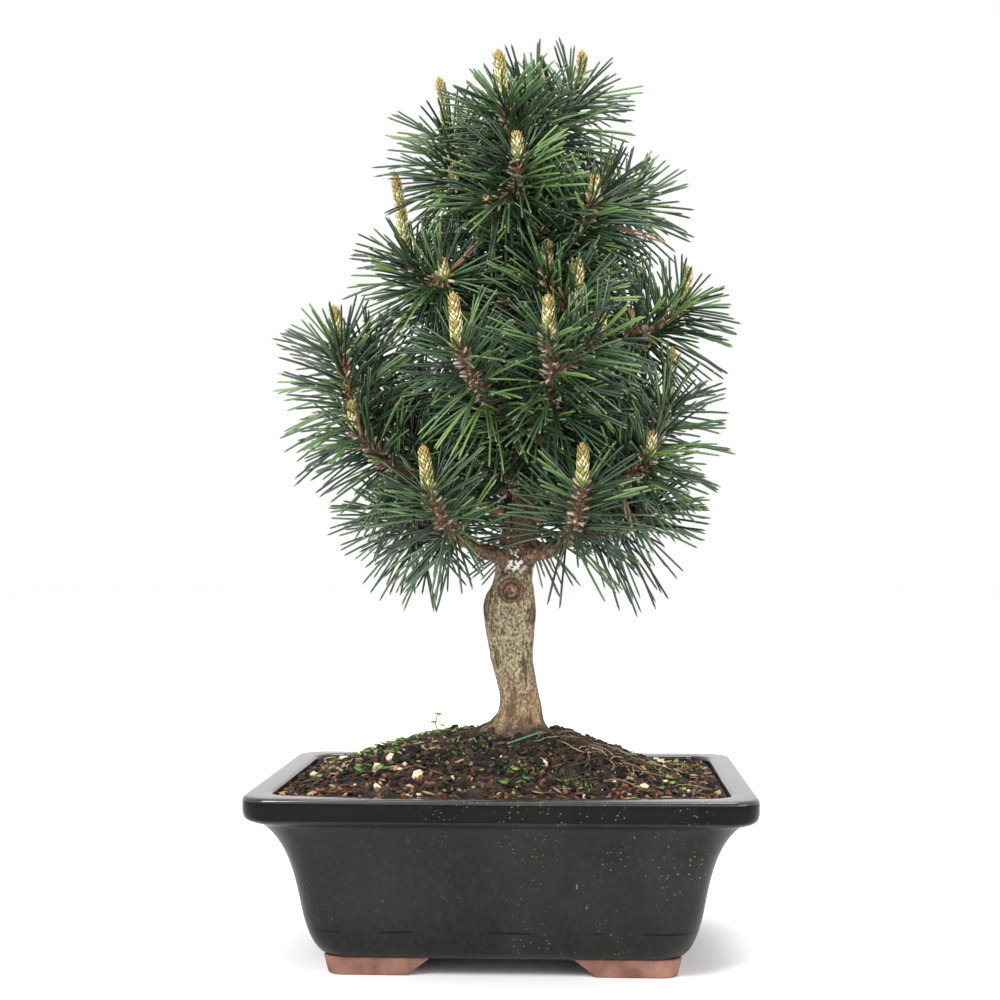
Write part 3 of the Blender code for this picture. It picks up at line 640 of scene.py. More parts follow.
ICOSAHEDRON_FACES = np.array((
    (0, 11, 5), (0, 5, 1), (0, 1, 7), (0, 7, 10), (0, 10, 11), (1, 5, 9), (5, 11, 4), (11, 10, 2), (10, 7, 6),
    (7, 1, 8), (3, 9, 4), (3, 4, 2), (3, 2, 6), (3, 6, 8), (3, 8, 9), (4, 9, 5), (2, 4, 11), (6, 2, 10),
    (8, 6, 7), (9, 8, 1),
))


def icosahedron():
    g = (1 + 5**0.5) / 2
    corners = [(-1, g, 0), (1, g, 0), (-1, -g, 0), (1, -g, 0), (0, -1, g), (0, 1, g)]
    corners += [(0, -1, -g), (0, 1, -g), (g, 0, -1), (g, 0, 1), (-g, 0, -1), (-g, 0, 1)]
    return unit(np.array(corners, float))


def random_turns(rng, count):
    """Random rotations, as matrices whose columns are square to each other."""
    first = unit(rng.normal(size=(count, 3)))
    second = unit(np.cross(first, rng.normal(size=(count, 3))))
    return np.stack((first, second, np.cross(first, second)), 2)


def scatter(rng, count, centre=None, spread=None):
    """Places on the soil, inside the pot's mouth and outside the trunk: all over, or round a centre."""
    half_width, half_depth = MOUTH - 2.5 * MM
    if centre is None:
        x, y = rng.uniform(-half_width, half_width, count), rng.uniform(-half_depth, half_depth, count)
    else:
        x, y = rng.normal(centre[0], spread[0], count), rng.normal(centre[1], spread[1], count)
    inside = (np.abs(x) < half_width) & (np.abs(y) < half_depth)
    clear = np.hypot(x - TRUNK[0, 1], y) > TRUNK_CLEARANCE
    x, y = x[inside & clear], y[inside & clear]
    return np.stack((x, y, ground_height(x, y)), -1)


def add_grains(heap, rng, places, size, tints):
    """Broken grains resting half sunk at the places, between two sizes in millimetres."""
    count = len(places)
    shape = icosahedron()[None] * (1 + GRAIN_ROUGHNESS * rng.uniform(-1, 1, (count, 12, 1)))
    sizes = rng.uniform(*size, count)[:, None, None] * MM * GRAIN_SQUASH
    points = np.einsum("nij,nkj->nki", random_turns(rng, count), shape * sizes) + places[:, None]
    points[:, :, 2] += GRAIN_LIFT * sizes.mean(2)
    faces = ICOSAHEDRON_FACES[None] + (12 * np.arange(count))[:, None, None]
    heap.add(points, faces.reshape(-1, 3), np.repeat(rng.choice(tints, count), len(ICOSAHEDRON_FACES)))


# Piece, count, sizes and looks to choose from, and for grains round one place its centre and spread
GRAINS = (
    ("soil_crumbs", 3000, (0.8, 2.4), (0, 0, 1)),
    ("soil_crumbs", 900, (1.2, 3.2), (0, 0, 0, 1), (0.004, 0), (0.03, 0.03)),
    ("soil_crumbs", 150, (2.0, 4.0), (0, 0, 1), (0.004, -0.004), (0.026, 0.022)),
    ("soil_akadama", 2100, (0.9, 2.1), (2, 2, 3)),
    ("soil_pebbles", 300, (0.8, 1.9), (4, 5, 5)),
    ("soil_pebbles", 46, (1.8, 3.4), (4, 5)),
    ("soil_pebbles", 8, (2.0, 3.6), (4, 5), (-0.07, -0.05), (0.03, 0.02)),
)


def make_grains():
    """Dark crumbs, red akadama, most of it near the front, and pale pebbles."""
    rng = np.random.default_rng(SEED)
    looks = plain_looks(
        ("humus", (0.006, 0.0045, 0.0032), 0.92, 0.5),
        ("bark_crumb", (0.045, 0.026, 0.015), 0.9, 0.5),
        ("akadama", (0.23, 0.085, 0.036), 0.9, 0.45),
        ("akadama_dark", (0.075, 0.03, 0.016), 0.9, 0.45),
        ("pumice", (0.7, 0.6, 0.42), 0.85, 0.2),
        ("clay_pebble", (0.42, 0.28, 0.14), 0.88, 0.3),
    )
    heaps = defaultdict(Heap)
    for name, count, size, tints, *zone in GRAINS:
        places = scatter(rng, count, *zone)
        if name == "soil_akadama":
            chance = np.interp(places[:, 1], (-0.08, -0.03, 0.08), (1.0, 0.45, 0.3))
            places = places[rng.uniform(size=len(places)) < chance]
        add_grains(heaps[name], rng, places, size, tints)
    for name, heap in heaps.items():
        heap.build(name, looks, "earth", smooth=False)


def make_chips():
    """Slivers of bark and straw, lying flat on the soil."""
    rng = np.random.default_rng(SEED + 1)
    heap = Heap()
    places = scatter(rng, 900)
    count = len(places)
    heading = rng.uniform(0, math.tau, count)
    length = rng.uniform(2.5, 8.5, count)[:, None] * MM
    way = np.stack((np.cos(heading), np.sin(heading), rng.uniform(-0.25, 0.3, count)), 1)
    lines = places[:, None] + np.linspace(-0.5, 0.5, 4)[:, None] * (length * way)[:, None]
    lines[:, :, 2] += 1.6 * MM
    radii = rng.uniform(0.5, 1.5, (count, 1)) * MM * np.array((0.5, 1.0, 0.9, 0.35))
    add_tubes(heap, lines, radii, 5, rng.choice((0, 0, 1, 2), (count, 1)), flatness=0.45)
    looks = plain_looks(
        ("chip_dark", (0.04, 0.024, 0.014), 0.9, 0.5),
        ("chip_brown", (0.12, 0.07, 0.035), 0.88, 0.4),
        ("chip_straw", (0.36, 0.26, 0.13), 0.85, 0.3),
    )
    heap.build("soil_chips", looks, "earth")


def make_fibres():
    """Fine dry root fibres right of the trunk."""
    rng = np.random.default_rng(SEED + 2)
    heap = Heap()
    starts = scatter(rng, 120, (0.042, -0.016), (0.018, 0.016))
    count, rings = len(starts), 8
    heading = rng.normal(-0.5, 0.9, count)[:, None] + np.cumsum(rng.normal(0, 0.35, (count, rings)), 1)
    moves = np.stack((np.cos(heading), np.sin(heading)), 2) * rng.uniform(1.2, 3.2, (count, 1, 1)) * MM
    limit = MOUTH - 3.2 * MM
    flat = np.clip(starts[:, None, :2] + np.cumsum(moves, 1), -limit, limit)
    lift = (2.2 + 1.8 * rng.uniform(size=(count, 1)) * np.sin(np.linspace(0, math.pi, rings))) * MM
    lines = np.concatenate((flat, (ground_height(flat[..., 0], flat[..., 1]) + lift)[..., None]), 2)
    tints = rng.choice((0, 0, 1), (count, 1))
    add_tubes(heap, lines, rng.uniform(0.18, 0.42, (count, 1)) * MM, 4, tints)
    looks = plain_looks(("fibre", (0.06, 0.035, 0.02), 0.85), ("fibre_pale", (0.3, 0.22, 0.13), 0.85))
    heap.build("root_fibres", looks, "earth")


# Bearing in degrees, reach and radius of each surface root, in millimetres
SURFACE_ROOTS = (
    (175, 38, 4.6), (212, 30, 4.2), (262, 27, 3.8), (318, 27, 4.0), (352, 30, 4.2),
    (30, 28, 4.2), (80, 28, 4.2), (130, 30, 4.4),
)


def make_surface_roots():
    """The dark feet of the roots that leave the trunk."""
    heap = Heap()
    shares = np.linspace(0, 1, 12)
    for bearing, reach, radius in SURFACE_ROOTS:
        turn = math.radians(bearing) + 0.35 * shares
        out = np.linspace(7, reach, 12) * MM
        x, y = 5 * MM + out * np.cos(turn), out * np.sin(turn)
        z = np.interp(shares, (0, 0.3, 1), (118.5, 115, 108)) * MM
        z = np.maximum(z, ground_height(x, y) - 1.2 * MM)
        add_tubes(heap, [np.stack((x, y, z), 1)], np.linspace(1.0, 0.35, 12) * radius * MM, 14)
    points = np.concatenate(heap.points)
    push = 0.9 * MM * lumps(points, 4 * MM) + 0.5 * MM * lumps(points, 1.6 * MM)
    heap.points = [points + unit(points - (5 * MM, 0, 100 * MM)) * push[:, None]]
    look = wood_look("root_bark", (0.006, 0.004, 0.003), (0.045, 0.028, 0.017))
    heap.build("surface_roots", [look], "bark")


# Distance to the right and to the back, spread and count of each clump of moss and of creeping leaves
MOSS = (
    (-0.052, 0.02, 0.014, 260), (0.023, -0.016, 0.004, 126), (-0.02, -0.03, 0.01, 84),
    (0.012, -0.05, 0.008, 67), (-0.058, -0.02, 0.006, 50), (0.078, -0.01, 0.007, 54),
    (0.04, -0.058, 0.006, 50), (-0.09, 0.03, 0.008, 50), (-0.03, 0.045, 0.012, 84),
    (0.05, 0.045, 0.012, 75), (-0.012, -0.022, 0.005, 58), (0.096, 0.04, 0.006, 37),
)
LEAVES = (
    (-0.052, 0.02, 0.014, 56), (-0.03, 0.012, 0.008, 16), (0.07, 0.0, 0.008, 7),
    (-0.07, -0.045, 0.01, 7), (0.09, -0.05, 0.01, 5), (0.02, -0.055, 0.01, 7),
)
SPROUT_STEM = MM * np.array(((-36.5, 14, 105), (-37, 13, 112), (-39, 13, 117), (-38, 12, 122)))
SPROUT_LEAVES = MM * np.array(((-40, 13, 118), (-37.5, 11.5, 122.5), (-35.5, 13, 116.5)))


def make_moss():
    """Cushions of moss and small creeping leaves, mostly left of the trunk and at its foot."""
    rng = np.random.default_rng(SEED + 3)
    moss, leaves = Heap(), Heap()
    for x, y, spread, count in MOSS:
        places = scatter(rng, count, (x, y), (spread, spread * 0.8))
        count = len(places)
        way = unit(np.column_stack((rng.normal(0, 0.5, (count, 2)), np.ones(count))))
        length = rng.uniform(1.3, 2.8, (count, 1, 1)) * MM
        lines = places[:, None] + np.array((0, 0.55, 1.0))[:, None] * way[:, None] * length
        lines[:, :, 2] += 0.6 * MM
        radii = np.array((0.45, 0.6, 0.1)) * MM
        add_tubes(moss, lines, radii, 3, rng.choice((0, 1, 1, 2), (count, 1)))
    for x, y, spread, count in LEAVES:
        for place in scatter(rng, count, (x, y), (spread, spread * 0.7)):
            add_leaf(leaves, rng, place + (0, 0, 2.4 * MM), rng.uniform(1.5, 3.2) * MM, int(rng.integers(2)))
    add_tubes(leaves, [SPROUT_STEM], 0.3 * MM, 5, 1)
    for place in SPROUT_LEAVES:
        add_leaf(leaves, rng, place, 2.0 * MM, 0)
    moss_looks = plain_looks(
        ("moss_dark", (0.018, 0.036, 0.009), 0.85, 0.4),
        ("moss_green", (0.06, 0.12, 0.022), 0.85, 0.35),
        ("moss_bright", (0.22, 0.32, 0.065), 0.85, 0.3),
    )
    moss.build("moss", moss_looks, "earth")
    leaf_looks = plain_looks(
        ("leaf_bright", (0.2, 0.36, 0.06), 0.5, 0.2),
        ("leaf_green", (0.09, 0.2, 0.04), 0.5, 0.2),
    )
    leaves.build("creeping_leaves", leaf_looks, "earth")


def add_leaf(heap, rng, place, size, tint):
    """A small round leaf, a shallow closed dish."""
    turns = math.tau * np.arange(8) / 8
    tilt = random_turns(rng, 1)[0]
    tilt[:, 2] = unit(tilt[:, 2] * 0.5 + (0, 0, 1.0))
    tilt[:, 0] = unit(np.cross(tilt[:, 2], (0.3, 1.0, 0.1)))
    tilt[:, 1] = np.cross(tilt[:, 2], tilt[:, 0])
    wave = 1 + 0.16 * np.cos(3 * turns)
    ring = np.stack((np.cos(turns) * wave, 0.8 * np.sin(turns) * wave, np.full(8, 0.18)), 1)
    points = np.concatenate((ring, ((0, 0, 0.12), (0, 0, -0.12)))) * size
    heap.add(points @ tilt.T + place, double_fan(8), tint)


# Trunk and boughs


def trunk_at(height):
    """The trunk's centre and radius at a height."""
    right, back, radius = between(height, TRUNK[:, 0], TRUNK[:, 1:])
    return Vector((right, back, height)), float(radius)


def place_at(bearing, reach, height):
    turn = math.radians(bearing)
    return Vector((LEADER_RIGHT + reach * MM * math.cos(turn), reach * MM * math.sin(turn), height * MM))


def bend(start, start_way, end, end_way, steps):
    pull = BEND_PULL * (end - start).length
    return interpolate_bezier(start, start + pull * start_way, end - pull * end_way, end, steps)


def bough_ends(limb):
    start, _ = trunk_at(limb.leaves * MM)
    tip = place_at(limb.bearing, limb.reach, limb.height)
    outwards = Vector((tip.x - start.x, tip.y - start.y, 0)).normalized()
    leaving = (outwards + Vector((0, 0, BOUGH_RISE))).normalized()
    arriving = (place_at(*limb.shoots[0][:3]) - tip).normalized()
    return start, leaving, tip, arriving


def bough_path(limb, steps=BOUGH_STEPS):
    return bend(*bough_ends(limb), steps)


def on_whorl(limb):
    return limb.leaves * MM < WHORL + 10 * MM


def smooth_rows(values, width):
    """The values blurred along their first axis, with the ends held."""
    kernel = np.hanning(2 * width + 3)[1:-1]
    padded = np.concatenate((np.repeat(values[:1], width, 0), values, np.repeat(values[-1:], width, 0)))
    return np.stack([np.convolve(column, kernel / kernel.sum(), "valid") for column in padded.T], 1)


def make_trunk():
    """The bark in relief: ridges, plates, the girdle's rings, the scars' lips and a collar at each bough."""
    heights = np.arange(GROUND - 4 * MM, TRUNK[-1, 0], TRUNK_STEP)
    right, back, radius = smooth_rows(between(heights, TRUNK[:, 0], TRUNK[:, 1:]), 5).T
    turns = math.tau * np.arange(TRUNK_SIDES) / TRUNK_SIDES
    lobes = np.cos(ROOT_LOBES * turns + ROOT_LOBE_TURN)
    radii = radius[:, None] * (1 + ROOT_LOBE_DEPTH * hump(heights - GROUND, ROOT_FADE)[:, None] * lobes)
    out = np.stack((np.cos(turns), np.sin(turns), np.zeros(TRUNK_SIDES)), 1)
    skin = np.stack((right, back, heights), 1)[:, None] + radii[..., None] * out
    flat = skin.reshape(-1, 3)
    z = flat[:, 2]
    # The relief itself is in millimetres
    upper = np.clip((z - WHORL + 6 * MM) / (10 * MM), 0, 1)
    low = np.clip((145 * MM - z) / (30 * MM), 0, 1)
    ridges = lumps(flat * (1, 1, 0.28), 3.2 * MM)
    fine = lumps(flat * (1, 1, 0.6), 1.3 * MM, 3.0)
    plates = np.abs(lumps(flat * (1, 1, 0.55), 4.2 * MM, 9.0)) - 0.2
    relief = (0.32 + 0.5 * low) * ridges + (0.16 + 0.3 * upper) * fine + 0.9 * upper * plates
    relief += 0.5 * lumps(flat, 11 * MM, 5.0)
    rings = np.sin((z + 1.2 * MM * lumps(flat, 9 * MM)) / (1.1 * MM))
    relief += 0.14 * rings * hump(z - GIRDLE, 4 * MM)
    from_scar = np.linalg.norm(flat - SCAR, axis=1)
    relief += 1.5 * hump(from_scar, 8.5 * MM) + 0.9 * hump(from_scar - SCAR_RADIUS, 1.0 * MM)
    relief -= 1.3 * (from_scar < SCAR_RADIUS - 0.9 * MM)
    for place, size in LENS_SCARS:
        from_lens = np.linalg.norm((flat - place) / size, axis=1)
        relief += 0.8 * hump(from_lens - 1.0, 0.3) - 0.7 * (from_lens < 0.75)
    for limb in LIMBS:
        start, leaving, _, _ = bough_ends(limb)
        collar = start + leaving * trunk_at(limb.leaves * MM)[1]
        from_collar = np.linalg.norm(flat - np.array(collar), axis=1)
        relief += 1.3 * hump(from_collar, 1.5 * limb.radius * MM)
    skin = skin + (relief * MM).reshape(len(heights), -1, 1) * out
    heap = Heap()
    heap.add(skin, tube_faces(len(heights), TRUNK_SIDES)[0])
    heap.build("trunk_bark", [bark_look()], "bark", ["trunk"])


def make_boughs():
    """The boughs with flaky bark, those of the whorl swollen near the trunk."""
    heap = Heap()
    shares = np.linspace(0, 1, BOUGH_RINGS)
    for limb in LIMBS:
        path, _ = resample(bough_path(limb, 24), BOUGH_RINGS)
        radii = limb.radius * MM * (1 - shares) + STEM_RADIUS * shares
        radii *= 1 + 0.35 * hump(shares - 0.25, 0.12) * on_whorl(limb)
        radii *= 1 + 0.09 * np.sin(shares * 40 + limb.bearing)
        add_tubes(heap, [path], radii, BOUGH_SIDES)
    points = np.concatenate(heap.points)
    push = 0.55 * MM * lumps(points, 2.4 * MM) + 0.3 * MM * lumps(points, 1.0 * MM, 2.0)
    rings = points.reshape(-1, BOUGH_SIDES, 3)
    out = unit(rings - rings.mean(1, keepdims=True)).reshape(-1, 3)
    heap.points = [points + push[:, None] * out]
    look = wood_look("bough_bark", (0.05, 0.028, 0.017), (0.21, 0.125, 0.075))
    heap.build("bough_bark", [look], "bough_bark", ["bough_" + limb.name for limb in LIMBS])


# Shoots


Shoot = namedtuple("Shoot", "mass path foot way candle")


def candle_way(bearing):
    turn, lean = math.radians(bearing), math.radians(CANDLE_LEAN)
    return Vector((math.sin(lean) * math.cos(turn), math.sin(lean) * math.sin(turn), math.cos(lean)))


def grow_shoots(mass, start, way, rows):
    """The first shoot carries on from the limb's tip, and the others fork from it."""
    shoots = []
    for bearing, reach, height, candle in rows:
        foot = place_at(bearing, reach, height)
        up = candle_way(bearing)
        if shoots:
            main = shoots[0].path
            fork = 1 + len(shoots) % 2
            path = bend(main[fork], (main[fork + 1] - main[fork]).normalized(), foot, up, STEM_STEPS)
        else:
            path = [start, *bend(start + STEM_STUB * way, way, foot, up, STEM_STEPS)]
        shoots.append(Shoot(mass, path, foot, up, candle * MM))
    return shoots


def all_shoots():
    shoots = []
    for limb in LIMBS:
        path = bough_path(limb)
        shoots += grow_shoots(limb.name, path[-1], (path[-1] - path[-2]).normalized(), limb.shoots)
    tip, _ = trunk_at(TRUNK[-1, 0])
    return shoots + grow_shoots("top", tip, Vector((0, 0, 1)), TOP_SHOOTS)


def side_twig(mass, start, way, length):
    end = start + length * (way + Vector((0, 0, 0.25)))
    path = bend(start, way, end, (way + Vector((0, 0, 0.5))).normalized(), STEM_STEPS)
    return Shoot(mass, path, end, way, 0.0)


def inner_shoots():
    """Short twigs without candles, on the leader and the upper boughs, which fill the crown's middle."""
    twigs = []
    for number, limb in enumerate(LIMBS):
        if on_whorl(limb):
            continue
        path = bough_path(limb, INNER_STEPS)
        for index, side in INNER_PLACES:
            ahead = (path[index] - path[index - 1]).normalized()
            beside = ahead.cross(Vector((0, 0, 1))).normalized()
            way = (ahead * 0.7 + beside * side * 0.8 + Vector((0, 0, 0.55))).normalized()
            twigs.append(side_twig(limb.name, path[index], way, INNER_TWIG * (0.8 + 0.1 * (number % 4))))
    for number, height in enumerate(np.linspace(*LEADER_TWIG_ZONE, LEADER_TWIGS)):
        start, radius = trunk_at(height)
        turn = GOLDEN_ANGLE * number
        way = Vector((math.cos(turn), math.sin(turn), 0.7)).normalized()
        mass = min(LIMBS, key=lambda limb: abs(limb.leaves * MM - height)).name
        twigs.append(side_twig(mass, start + 0.6 * radius * way, way, 1.2 * INNER_TWIG))
    return twigs


def fine_line(shoot):
    """The shoot's stem as a smooth line, and its length."""
    line, length = resample(shoot.path, STEM_RINGS)
    return smooth_rows(line, 1), length


def stem_places(line, shares, rng):
    """Places along a stem, turning by the golden angle, with the ways outwards from it and ahead along it."""
    run = np.linspace(0, 1, len(line))
    ahead = unit(between(shares, run, unit(np.gradient(line, axis=0))))
    across = unit(np.cross(ahead, (0.31, 0.17, 0.05)))
    turns = (rng.uniform(0, math.tau) + GOLDEN_ANGLE * np.arange(len(shares)))[:, None]
    outwards = np.cos(turns) * across + np.sin(turns) * np.cross(ahead, across)
    return between(shares, run, line), outwards, ahead


def make_twigs(shoots):
    """Reddish stems with short scaly spurs where old needles stood."""
    rng = np.random.default_rng(SEED + 4)
    stems, spurs = Heap(), Heap()
    for shoot in shoots:
        line, length = fine_line(shoot)
        knots = 1 + 0.06 * rng.normal(size=STEM_RINGS)
        add_tubes(stems, [line], np.linspace(STEM_RADIUS, STEM_TIP_RADIUS, STEM_RINGS) * knots, 10)
        count = int(length / SPUR_STEP)
        roots, outwards, ahead = stem_places(line, np.linspace(0.04, 0.99, count), rng)
        way = unit(outwards + rng.uniform(0.2, 0.9, (count, 1)) * ahead)[:, None]
        reach = rng.uniform(1.4, 3.2, (count, 1, 1)) * MM
        lines = (roots + 1.7 * MM * outwards)[:, None] + np.array((0, 0.5, 1.0))[:, None] * way * reach
        radii = rng.uniform(0.75, 1.15, (count, 1)) * np.array((0.62, 0.5, 0.14)) * MM
        pale = rng.uniform(size=(count, 1)) < 0.3
        add_tubes(spurs, lines, radii, 4, pale * np.array((0, 1, 1)))
    twig = wood_look("twig_bark", (0.09, 0.042, 0.022), (0.26, 0.13, 0.07))
    stems.build("twigs", [twig], "needles")
    spurs.build("twig_spurs", [twig, plain_look("spur_pale", (0.5, 0.4, 0.3), 0.8)], "needles")


def limb_pieces():
    """Straight pieces of the trunk and the boughs, as their starts, ends and radii."""
    pieces = [(TRUNK[:, [1, 2, 0]], np.maximum(TRUNK[:-1, 3], TRUNK[1:, 3]))]
    pieces += [(np.array(bough_path(limb)), [limb.radius * MM] * (BOUGH_STEPS - 1)) for limb in LIMBS]
    starts = np.concatenate([path[:-1] for path, _ in pieces])
    ends = np.concatenate([path[1:] for path, _ in pieces])
    return starts, ends, np.concatenate([radii for _, radii in pieces])


def clear_of_limbs(points, limbs):
    """Which of many points lie outside the trunk and the boughs."""
    starts, ends, radii = limbs
    along = ends - starts
    offset = points[:, None] - starts[None]
    share = np.clip((offset * along).sum(2) / (along**2).sum(1), 0, 1)
    gap = np.linalg.norm(offset - share[..., None] * along, axis=2) - radii
    return gap.min(1) > LIMB_CLEARANCE


# Greens of one needle in steps from painted shade to painted light, then a young green, a tip, a dead one and
# two sheaths.
NEEDLE_TINTS = {
    "needle_shade": (0.012, 0.03, 0.015),
    "needle_dark": (0.029, 0.066, 0.029),
    "needle_mid": (0.062, 0.128, 0.046),
    "needle_light": (0.135, 0.245, 0.075),
    "needle_young": (0.19, 0.32, 0.085),
    "needle_tip": (0.3, 0.3, 0.11),
    "needle_dead": (0.36, 0.2, 0.1),
    "sheath": (0.24, 0.15, 0.09),
    "sheath_pale": (0.55, 0.46, 0.36),
}
TIP, SPENT, SHEATH, PALE_SHEATH = range(5, 9)


def needle_tints(rng, shoot, count):
    """One tint for each pair, painted lighter on the shoots that the light reaches, with some spent ones."""
    # Painted light: high shoots and those at the front get more of the lighter greens and fewer of the darker
    # ones.
    sunny = np.clip((shoot.foot.z - 0.24) / 0.2, 0, 1) * 0.6 + np.clip(-shoot.foot.y / 0.08, -0.3, 1) * 0.4
    shares = np.array((0.26, 0.4, 0.28, 0.1, 0.02)) + sunny * np.array((-0.12, -0.14, 0, 0.16, 0.08))
    tints = rng.choice(5, count, p=shares / shares.sum())
    tints[rng.uniform(size=count) < SPENT_SHARE] = SPENT
    return tints


def add_needles(heap, shoot, number, limbs):
    """Pairs of needles in a spiral round the stem: forward at the tip, and drooping where they are old."""
    rng = np.random.default_rng(SEED * 100 + number)
    line, length = fine_line(shoot)
    zone = min(length, NEEDLE_ZONE)
    count = int(zone / PAIR_STEP)
    shares = 1 - (zone / length) * (np.arange(count) / count) ** 1.1 * 0.97
    roots, outwards, ahead = stem_places(line, shares, rng)
    age = (1 - shares) * length / NEEDLE_ZONE
    spread = rng.normal(0, ANGLE_SPREAD, count)
    angle = np.radians(TIP_ANGLE + (FOOT_ANGLE - TIP_ANGLE) * age**0.75 + spread)[:, None]
    way = unit(np.cos(angle) * ahead + np.sin(angle) * outwards)
    lengths = NEEDLE * rng.normal(1.0, 0.075, count) * (0.82 + 0.22 * np.minimum(age * 3, 1))
    tints = needle_tints(rng, shoot, count)[:, None]
    curl = rng.normal(0, 0.05, (count, 3)) + 0.10 * outwards
    curl[:, 2] -= 0.10 + 0.16 * age
    split = unit(np.cross(way, rng.normal(size=(count, 3))))
    steps = NEEDLE_STEPS[:, None]
    for side in (-1, 1):
        heading = unit(way + side * split * (PAIR_OPEN + 0.03 * rng.normal(size=(count, 1))))
        base = (roots + 2.0 * MM * outwards + side * 0.3 * MM * split)[:, None]
        reach = (lengths * rng.uniform(0.95, 1.02, count))[:, None, None]
        lines = base + reach * (steps * heading[:, None] + 0.5 * steps**2 * curl[:, None])
        free = clear_of_limbs(lines[:, 1:].reshape(-1, 3), limbs).reshape(count, -1).all(1)
        add_tubes(heap, lines[free], NEEDLE_RADIUS * np.array((0.85, 1.0, 1.0, 0.9, 0.35)), 3, tints[free])
        tipped = lines[free & (rng.uniform(size=count) < YELLOW_TIP_SHARE)]
        ends, back = tipped[:, -1:], tipped[:, -2:-1]
        tip_lines = ends + (back - ends) * np.array((0.8, 0.3, -0.1))[:, None]
        add_tubes(heap, tip_lines, np.array((0.62, 0.45, 0.12)) * MM, 3, TIP)
    sheath_tints = np.where(rng.uniform(size=(count, 1)) < PALE_SHEATH_SHARE, PALE_SHEATH, SHEATH)
    start = (roots + 1.4 * MM * outwards)[:, None]
    sheath_lines = start + np.array((0, 2.4, 5.2))[:, None] * MM * way[:, None]
    add_tubes(heap, sheath_lines, np.array((0.85, 1.0, 0.75)) * MM, 5, sheath_tints)


def make_needles(shoots):
    looks = [needle_look(*tint) for tint in NEEDLE_TINTS.items()]
    limbs = limb_pieces()
    for mass in sorted({shoot.mass for shoot in shoots}):
        heap = Heap()
        for number, shoot in enumerate(shoots):
            if shoot.mass == mass:
                add_needles(heap, shoot, number, limbs)
        heap.build("needles_of_" + mass, looks, "needles", ["needles_" + mass])


# Share of a candle's length and of its width at each ring of its core
CANDLE_LEVELS = np.array((-0.12, 0, 0.1, 0.3, 0.6, 0.82, 0.92, 0.98, 1.0))
CANDLE_WIDTHS = np.array((0.7, 0.78, 0.86, 0.88, 0.82, 0.74, 0.6, 0.34, 0.05))
SCALE_FACES = double_fan(4)
SCALE_LENGTH, SCALE_WIDTH, SCALES_PER_MM = 3.6 * MM, 0.88 * MM, 4.6
CREAM, TAN, GREEN = range(3)


def axis_at(shoot, shares, across):
    """Points along a candle's slightly bent axis."""
    shares = shares[:, None]
    return np.array(shoot.foot) + shoot.candle * (shares * np.array(shoot.way) + 0.03 * shares**2 * across)


def add_scales(heap, rng, shoot, radii, across, beside):
    """Pointed papery scales in a spiral up a candle, which close in on its tip."""
    count = int(shoot.candle / MM * SCALES_PER_MM)
    along = (np.arange(count) + 0.5) / count
    turns = (GOLDEN_ANGLE * np.arange(count) + rng.normal(0, 0.08, count))[:, None]
    out = np.cos(turns) * across + np.sin(turns) * beside
    level = np.cos(turns) * beside - np.sin(turns) * across
    root = axis_at(shoot, along, across) + np.interp(along, CANDLE_LEVELS, radii)[:, None] * out
    closing = np.interp(along, (0.85, 1), (0, 0.9))[:, None]
    rise = unit(np.array(shoot.way) * 0.92 + (0.3 - closing) * out)
    length = SCALE_LENGTH * rng.uniform(0.85, 1.15, count) * np.interp(along, (0, 0.85, 1), (1.0, 0.85, 0.5))
    width = SCALE_WIDTH * np.interp(along, (0, 0.9, 1), (1.0, 0.9, 0.6))
    long, wide = length[:, None] * rise, width[:, None] * level
    points = np.stack((
        root - 0.3 * MM * out,
        root + 0.35 * long + wide,
        root + long + 0.25 * MM * out,
        root + 0.35 * long - wide,
        root + 0.4 * long + 0.55 * MM * out,
        root + 0.3 * long - 0.5 * MM * out,
    ), 1)
    chance = rng.uniform(size=count)
    tan = chance < np.interp(along, (0.45, 0.85), (0.12, 0.9))
    green = chance > np.interp(along, (0, 0.7), (0.5, 0.85))
    tints = np.where(tan, TAN, np.where(green, GREEN, CREAM))
    faces = SCALE_FACES + (6 * np.arange(count))[:, None, None]
    heap.add(points, faces.reshape(-1, 3), np.repeat(tints, len(SCALE_FACES)))


def make_candles(shoots):
    """Upright spring candles: a core under a spiral of papery scales, greener below and tan at the tip."""
    rng = np.random.default_rng(SEED + 5)
    cores, scales = Heap(), Heap()
    for shoot in shoots:
        across = unit(np.cross(shoot.way, (0, 1.0, 0)))
        beside = np.cross(shoot.way, across)
        radii = CANDLE_RADIUS * min(1.0, 0.72 + 0.28 * shoot.candle / (20 * MM)) * CANDLE_WIDTHS
        add_tubes(cores, [axis_at(shoot, CANDLE_LEVELS, across)], radii, 12)
        add_scales(scales, rng, shoot, radii, across, beside)
    core = plain_look("candle_core", (0.13, 0.16, 0.03), 0.6, 0.3)
    looks = plain_looks(
        ("scale_cream", (0.88, 0.76, 0.46), 0.5, 0.1),
        ("scale_tan", (0.48, 0.31, 0.11), 0.6, 0.2),
        ("scale_green", (0.36, 0.38, 0.1), 0.55, 0.2),
    )
    cores.build("candle_cores", [core], "needles")
    scales.build("candle_scales", looks, "needles", smooth=False)


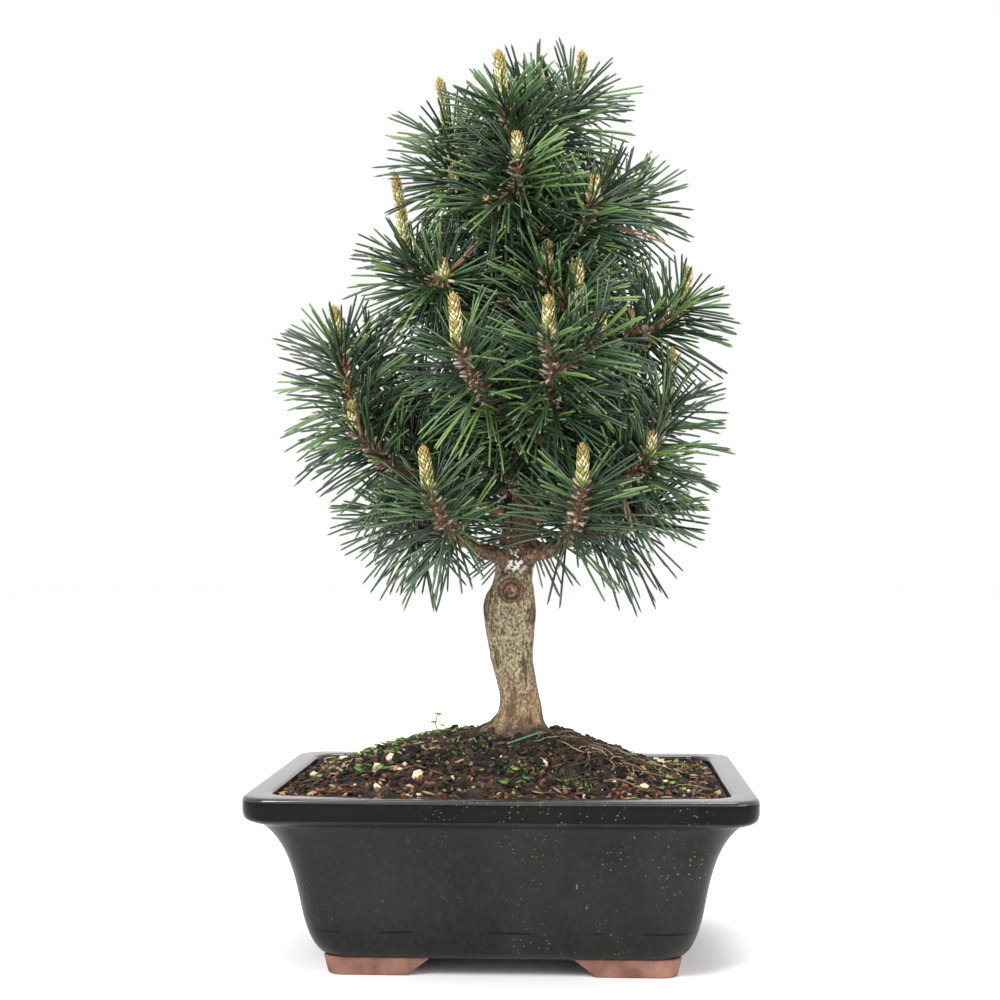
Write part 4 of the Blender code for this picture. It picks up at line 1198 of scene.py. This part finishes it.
def make_fallen_needle():
    """One green needle lying on the soil in front of the trunk."""
    ends = np.array(((2, -37), (20, -23))) * MM
    heights = ground_height(ends[:, 0], ends[:, 1]) + 6.0 * MM
    line = np.linspace(*np.column_stack((ends, heights)), 8)
    heap = Heap()
    add_tubes(heap, [line], 0.6 * MM * np.array((0.6, 1, 1, 1, 1, 1, 0.9, 0.3)), 6)
    heap.build("fallen_needle", [needle_look("needle_fallen", (0.07, 0.19, 0.09))], "needles")


# Stage


def area_light(name, place, aim, size, power):
    data = bpy.data.lights.new(name, "AREA")
    data.shape = "SQUARE"
    data.size, data.energy = size, power
    light = link(name, data)
    light.location = place
    light.rotation_euler = (Vector(aim) - Vector(place)).to_track_quat("-Z", "Y").to_euler()


def make_stage():
    """White paper under the pot, a white world round it and three soft lights."""
    mesh = bpy.data.meshes.new("floor")
    corners = [(FLOOR_REACH * x, FLOOR_REACH * y, 0) for x, y in ((-1, -1), (1, -1), (1, 1), (-1, 1))]
    mesh.from_pydata(corners, [], [range(4)])
    look = Look("floor_paper", (0.985, 0.985, 0.99), 0.9, Specular_IOR_Level=0.0)
    mesh.materials.append(look.material)
    link("floor", mesh)
    world = bpy.data.worlds.new("studio")
    world.use_nodes = True
    background = world.node_tree.nodes["Background"]
    background.inputs["Color"].default_value = (1, 1, 1, 1)
    background.inputs["Strength"].default_value = 1.0
    bpy.context.scene.world = world
    area_light("key", (-0.9, -1.5, 1.7), (0, 0, 0.25), 0.8, 38)
    area_light("fill", (1.4, -1.1, 0.9), (0, 0, 0.2), 1.0, 9)
    area_light("top", (0.1, 0.3, 1.9), (0, 0, 0.2), 0.9, 20)
    bpy.context.scene.view_settings.view_transform = "Standard"


def make_camera():
    data = bpy.data.cameras.new("camera")
    data.sensor_width = SENSOR_WIDTH
    data.lens = FOCAL_LENGTH
    camera = link("camera", data)
    camera.location = CAMERA_PLACE
    camera.rotation_euler = (math.radians(CAMERA_TILT), 0, math.radians(CAMERA_TURN))
    bpy.context.scene.camera = camera


make_camera()
make_stage()
make_pot()
make_feet()
make_soil_bed()
make_grains()
make_chips()
make_fibres()
make_surface_roots()
make_moss()
make_trunk()
make_boughs()
every_shoot = all_shoots()
every_twig = every_shoot + inner_shoots()
make_twigs(every_twig)
make_needles(every_twig)
make_candles(every_shoot)
make_fallen_needle()
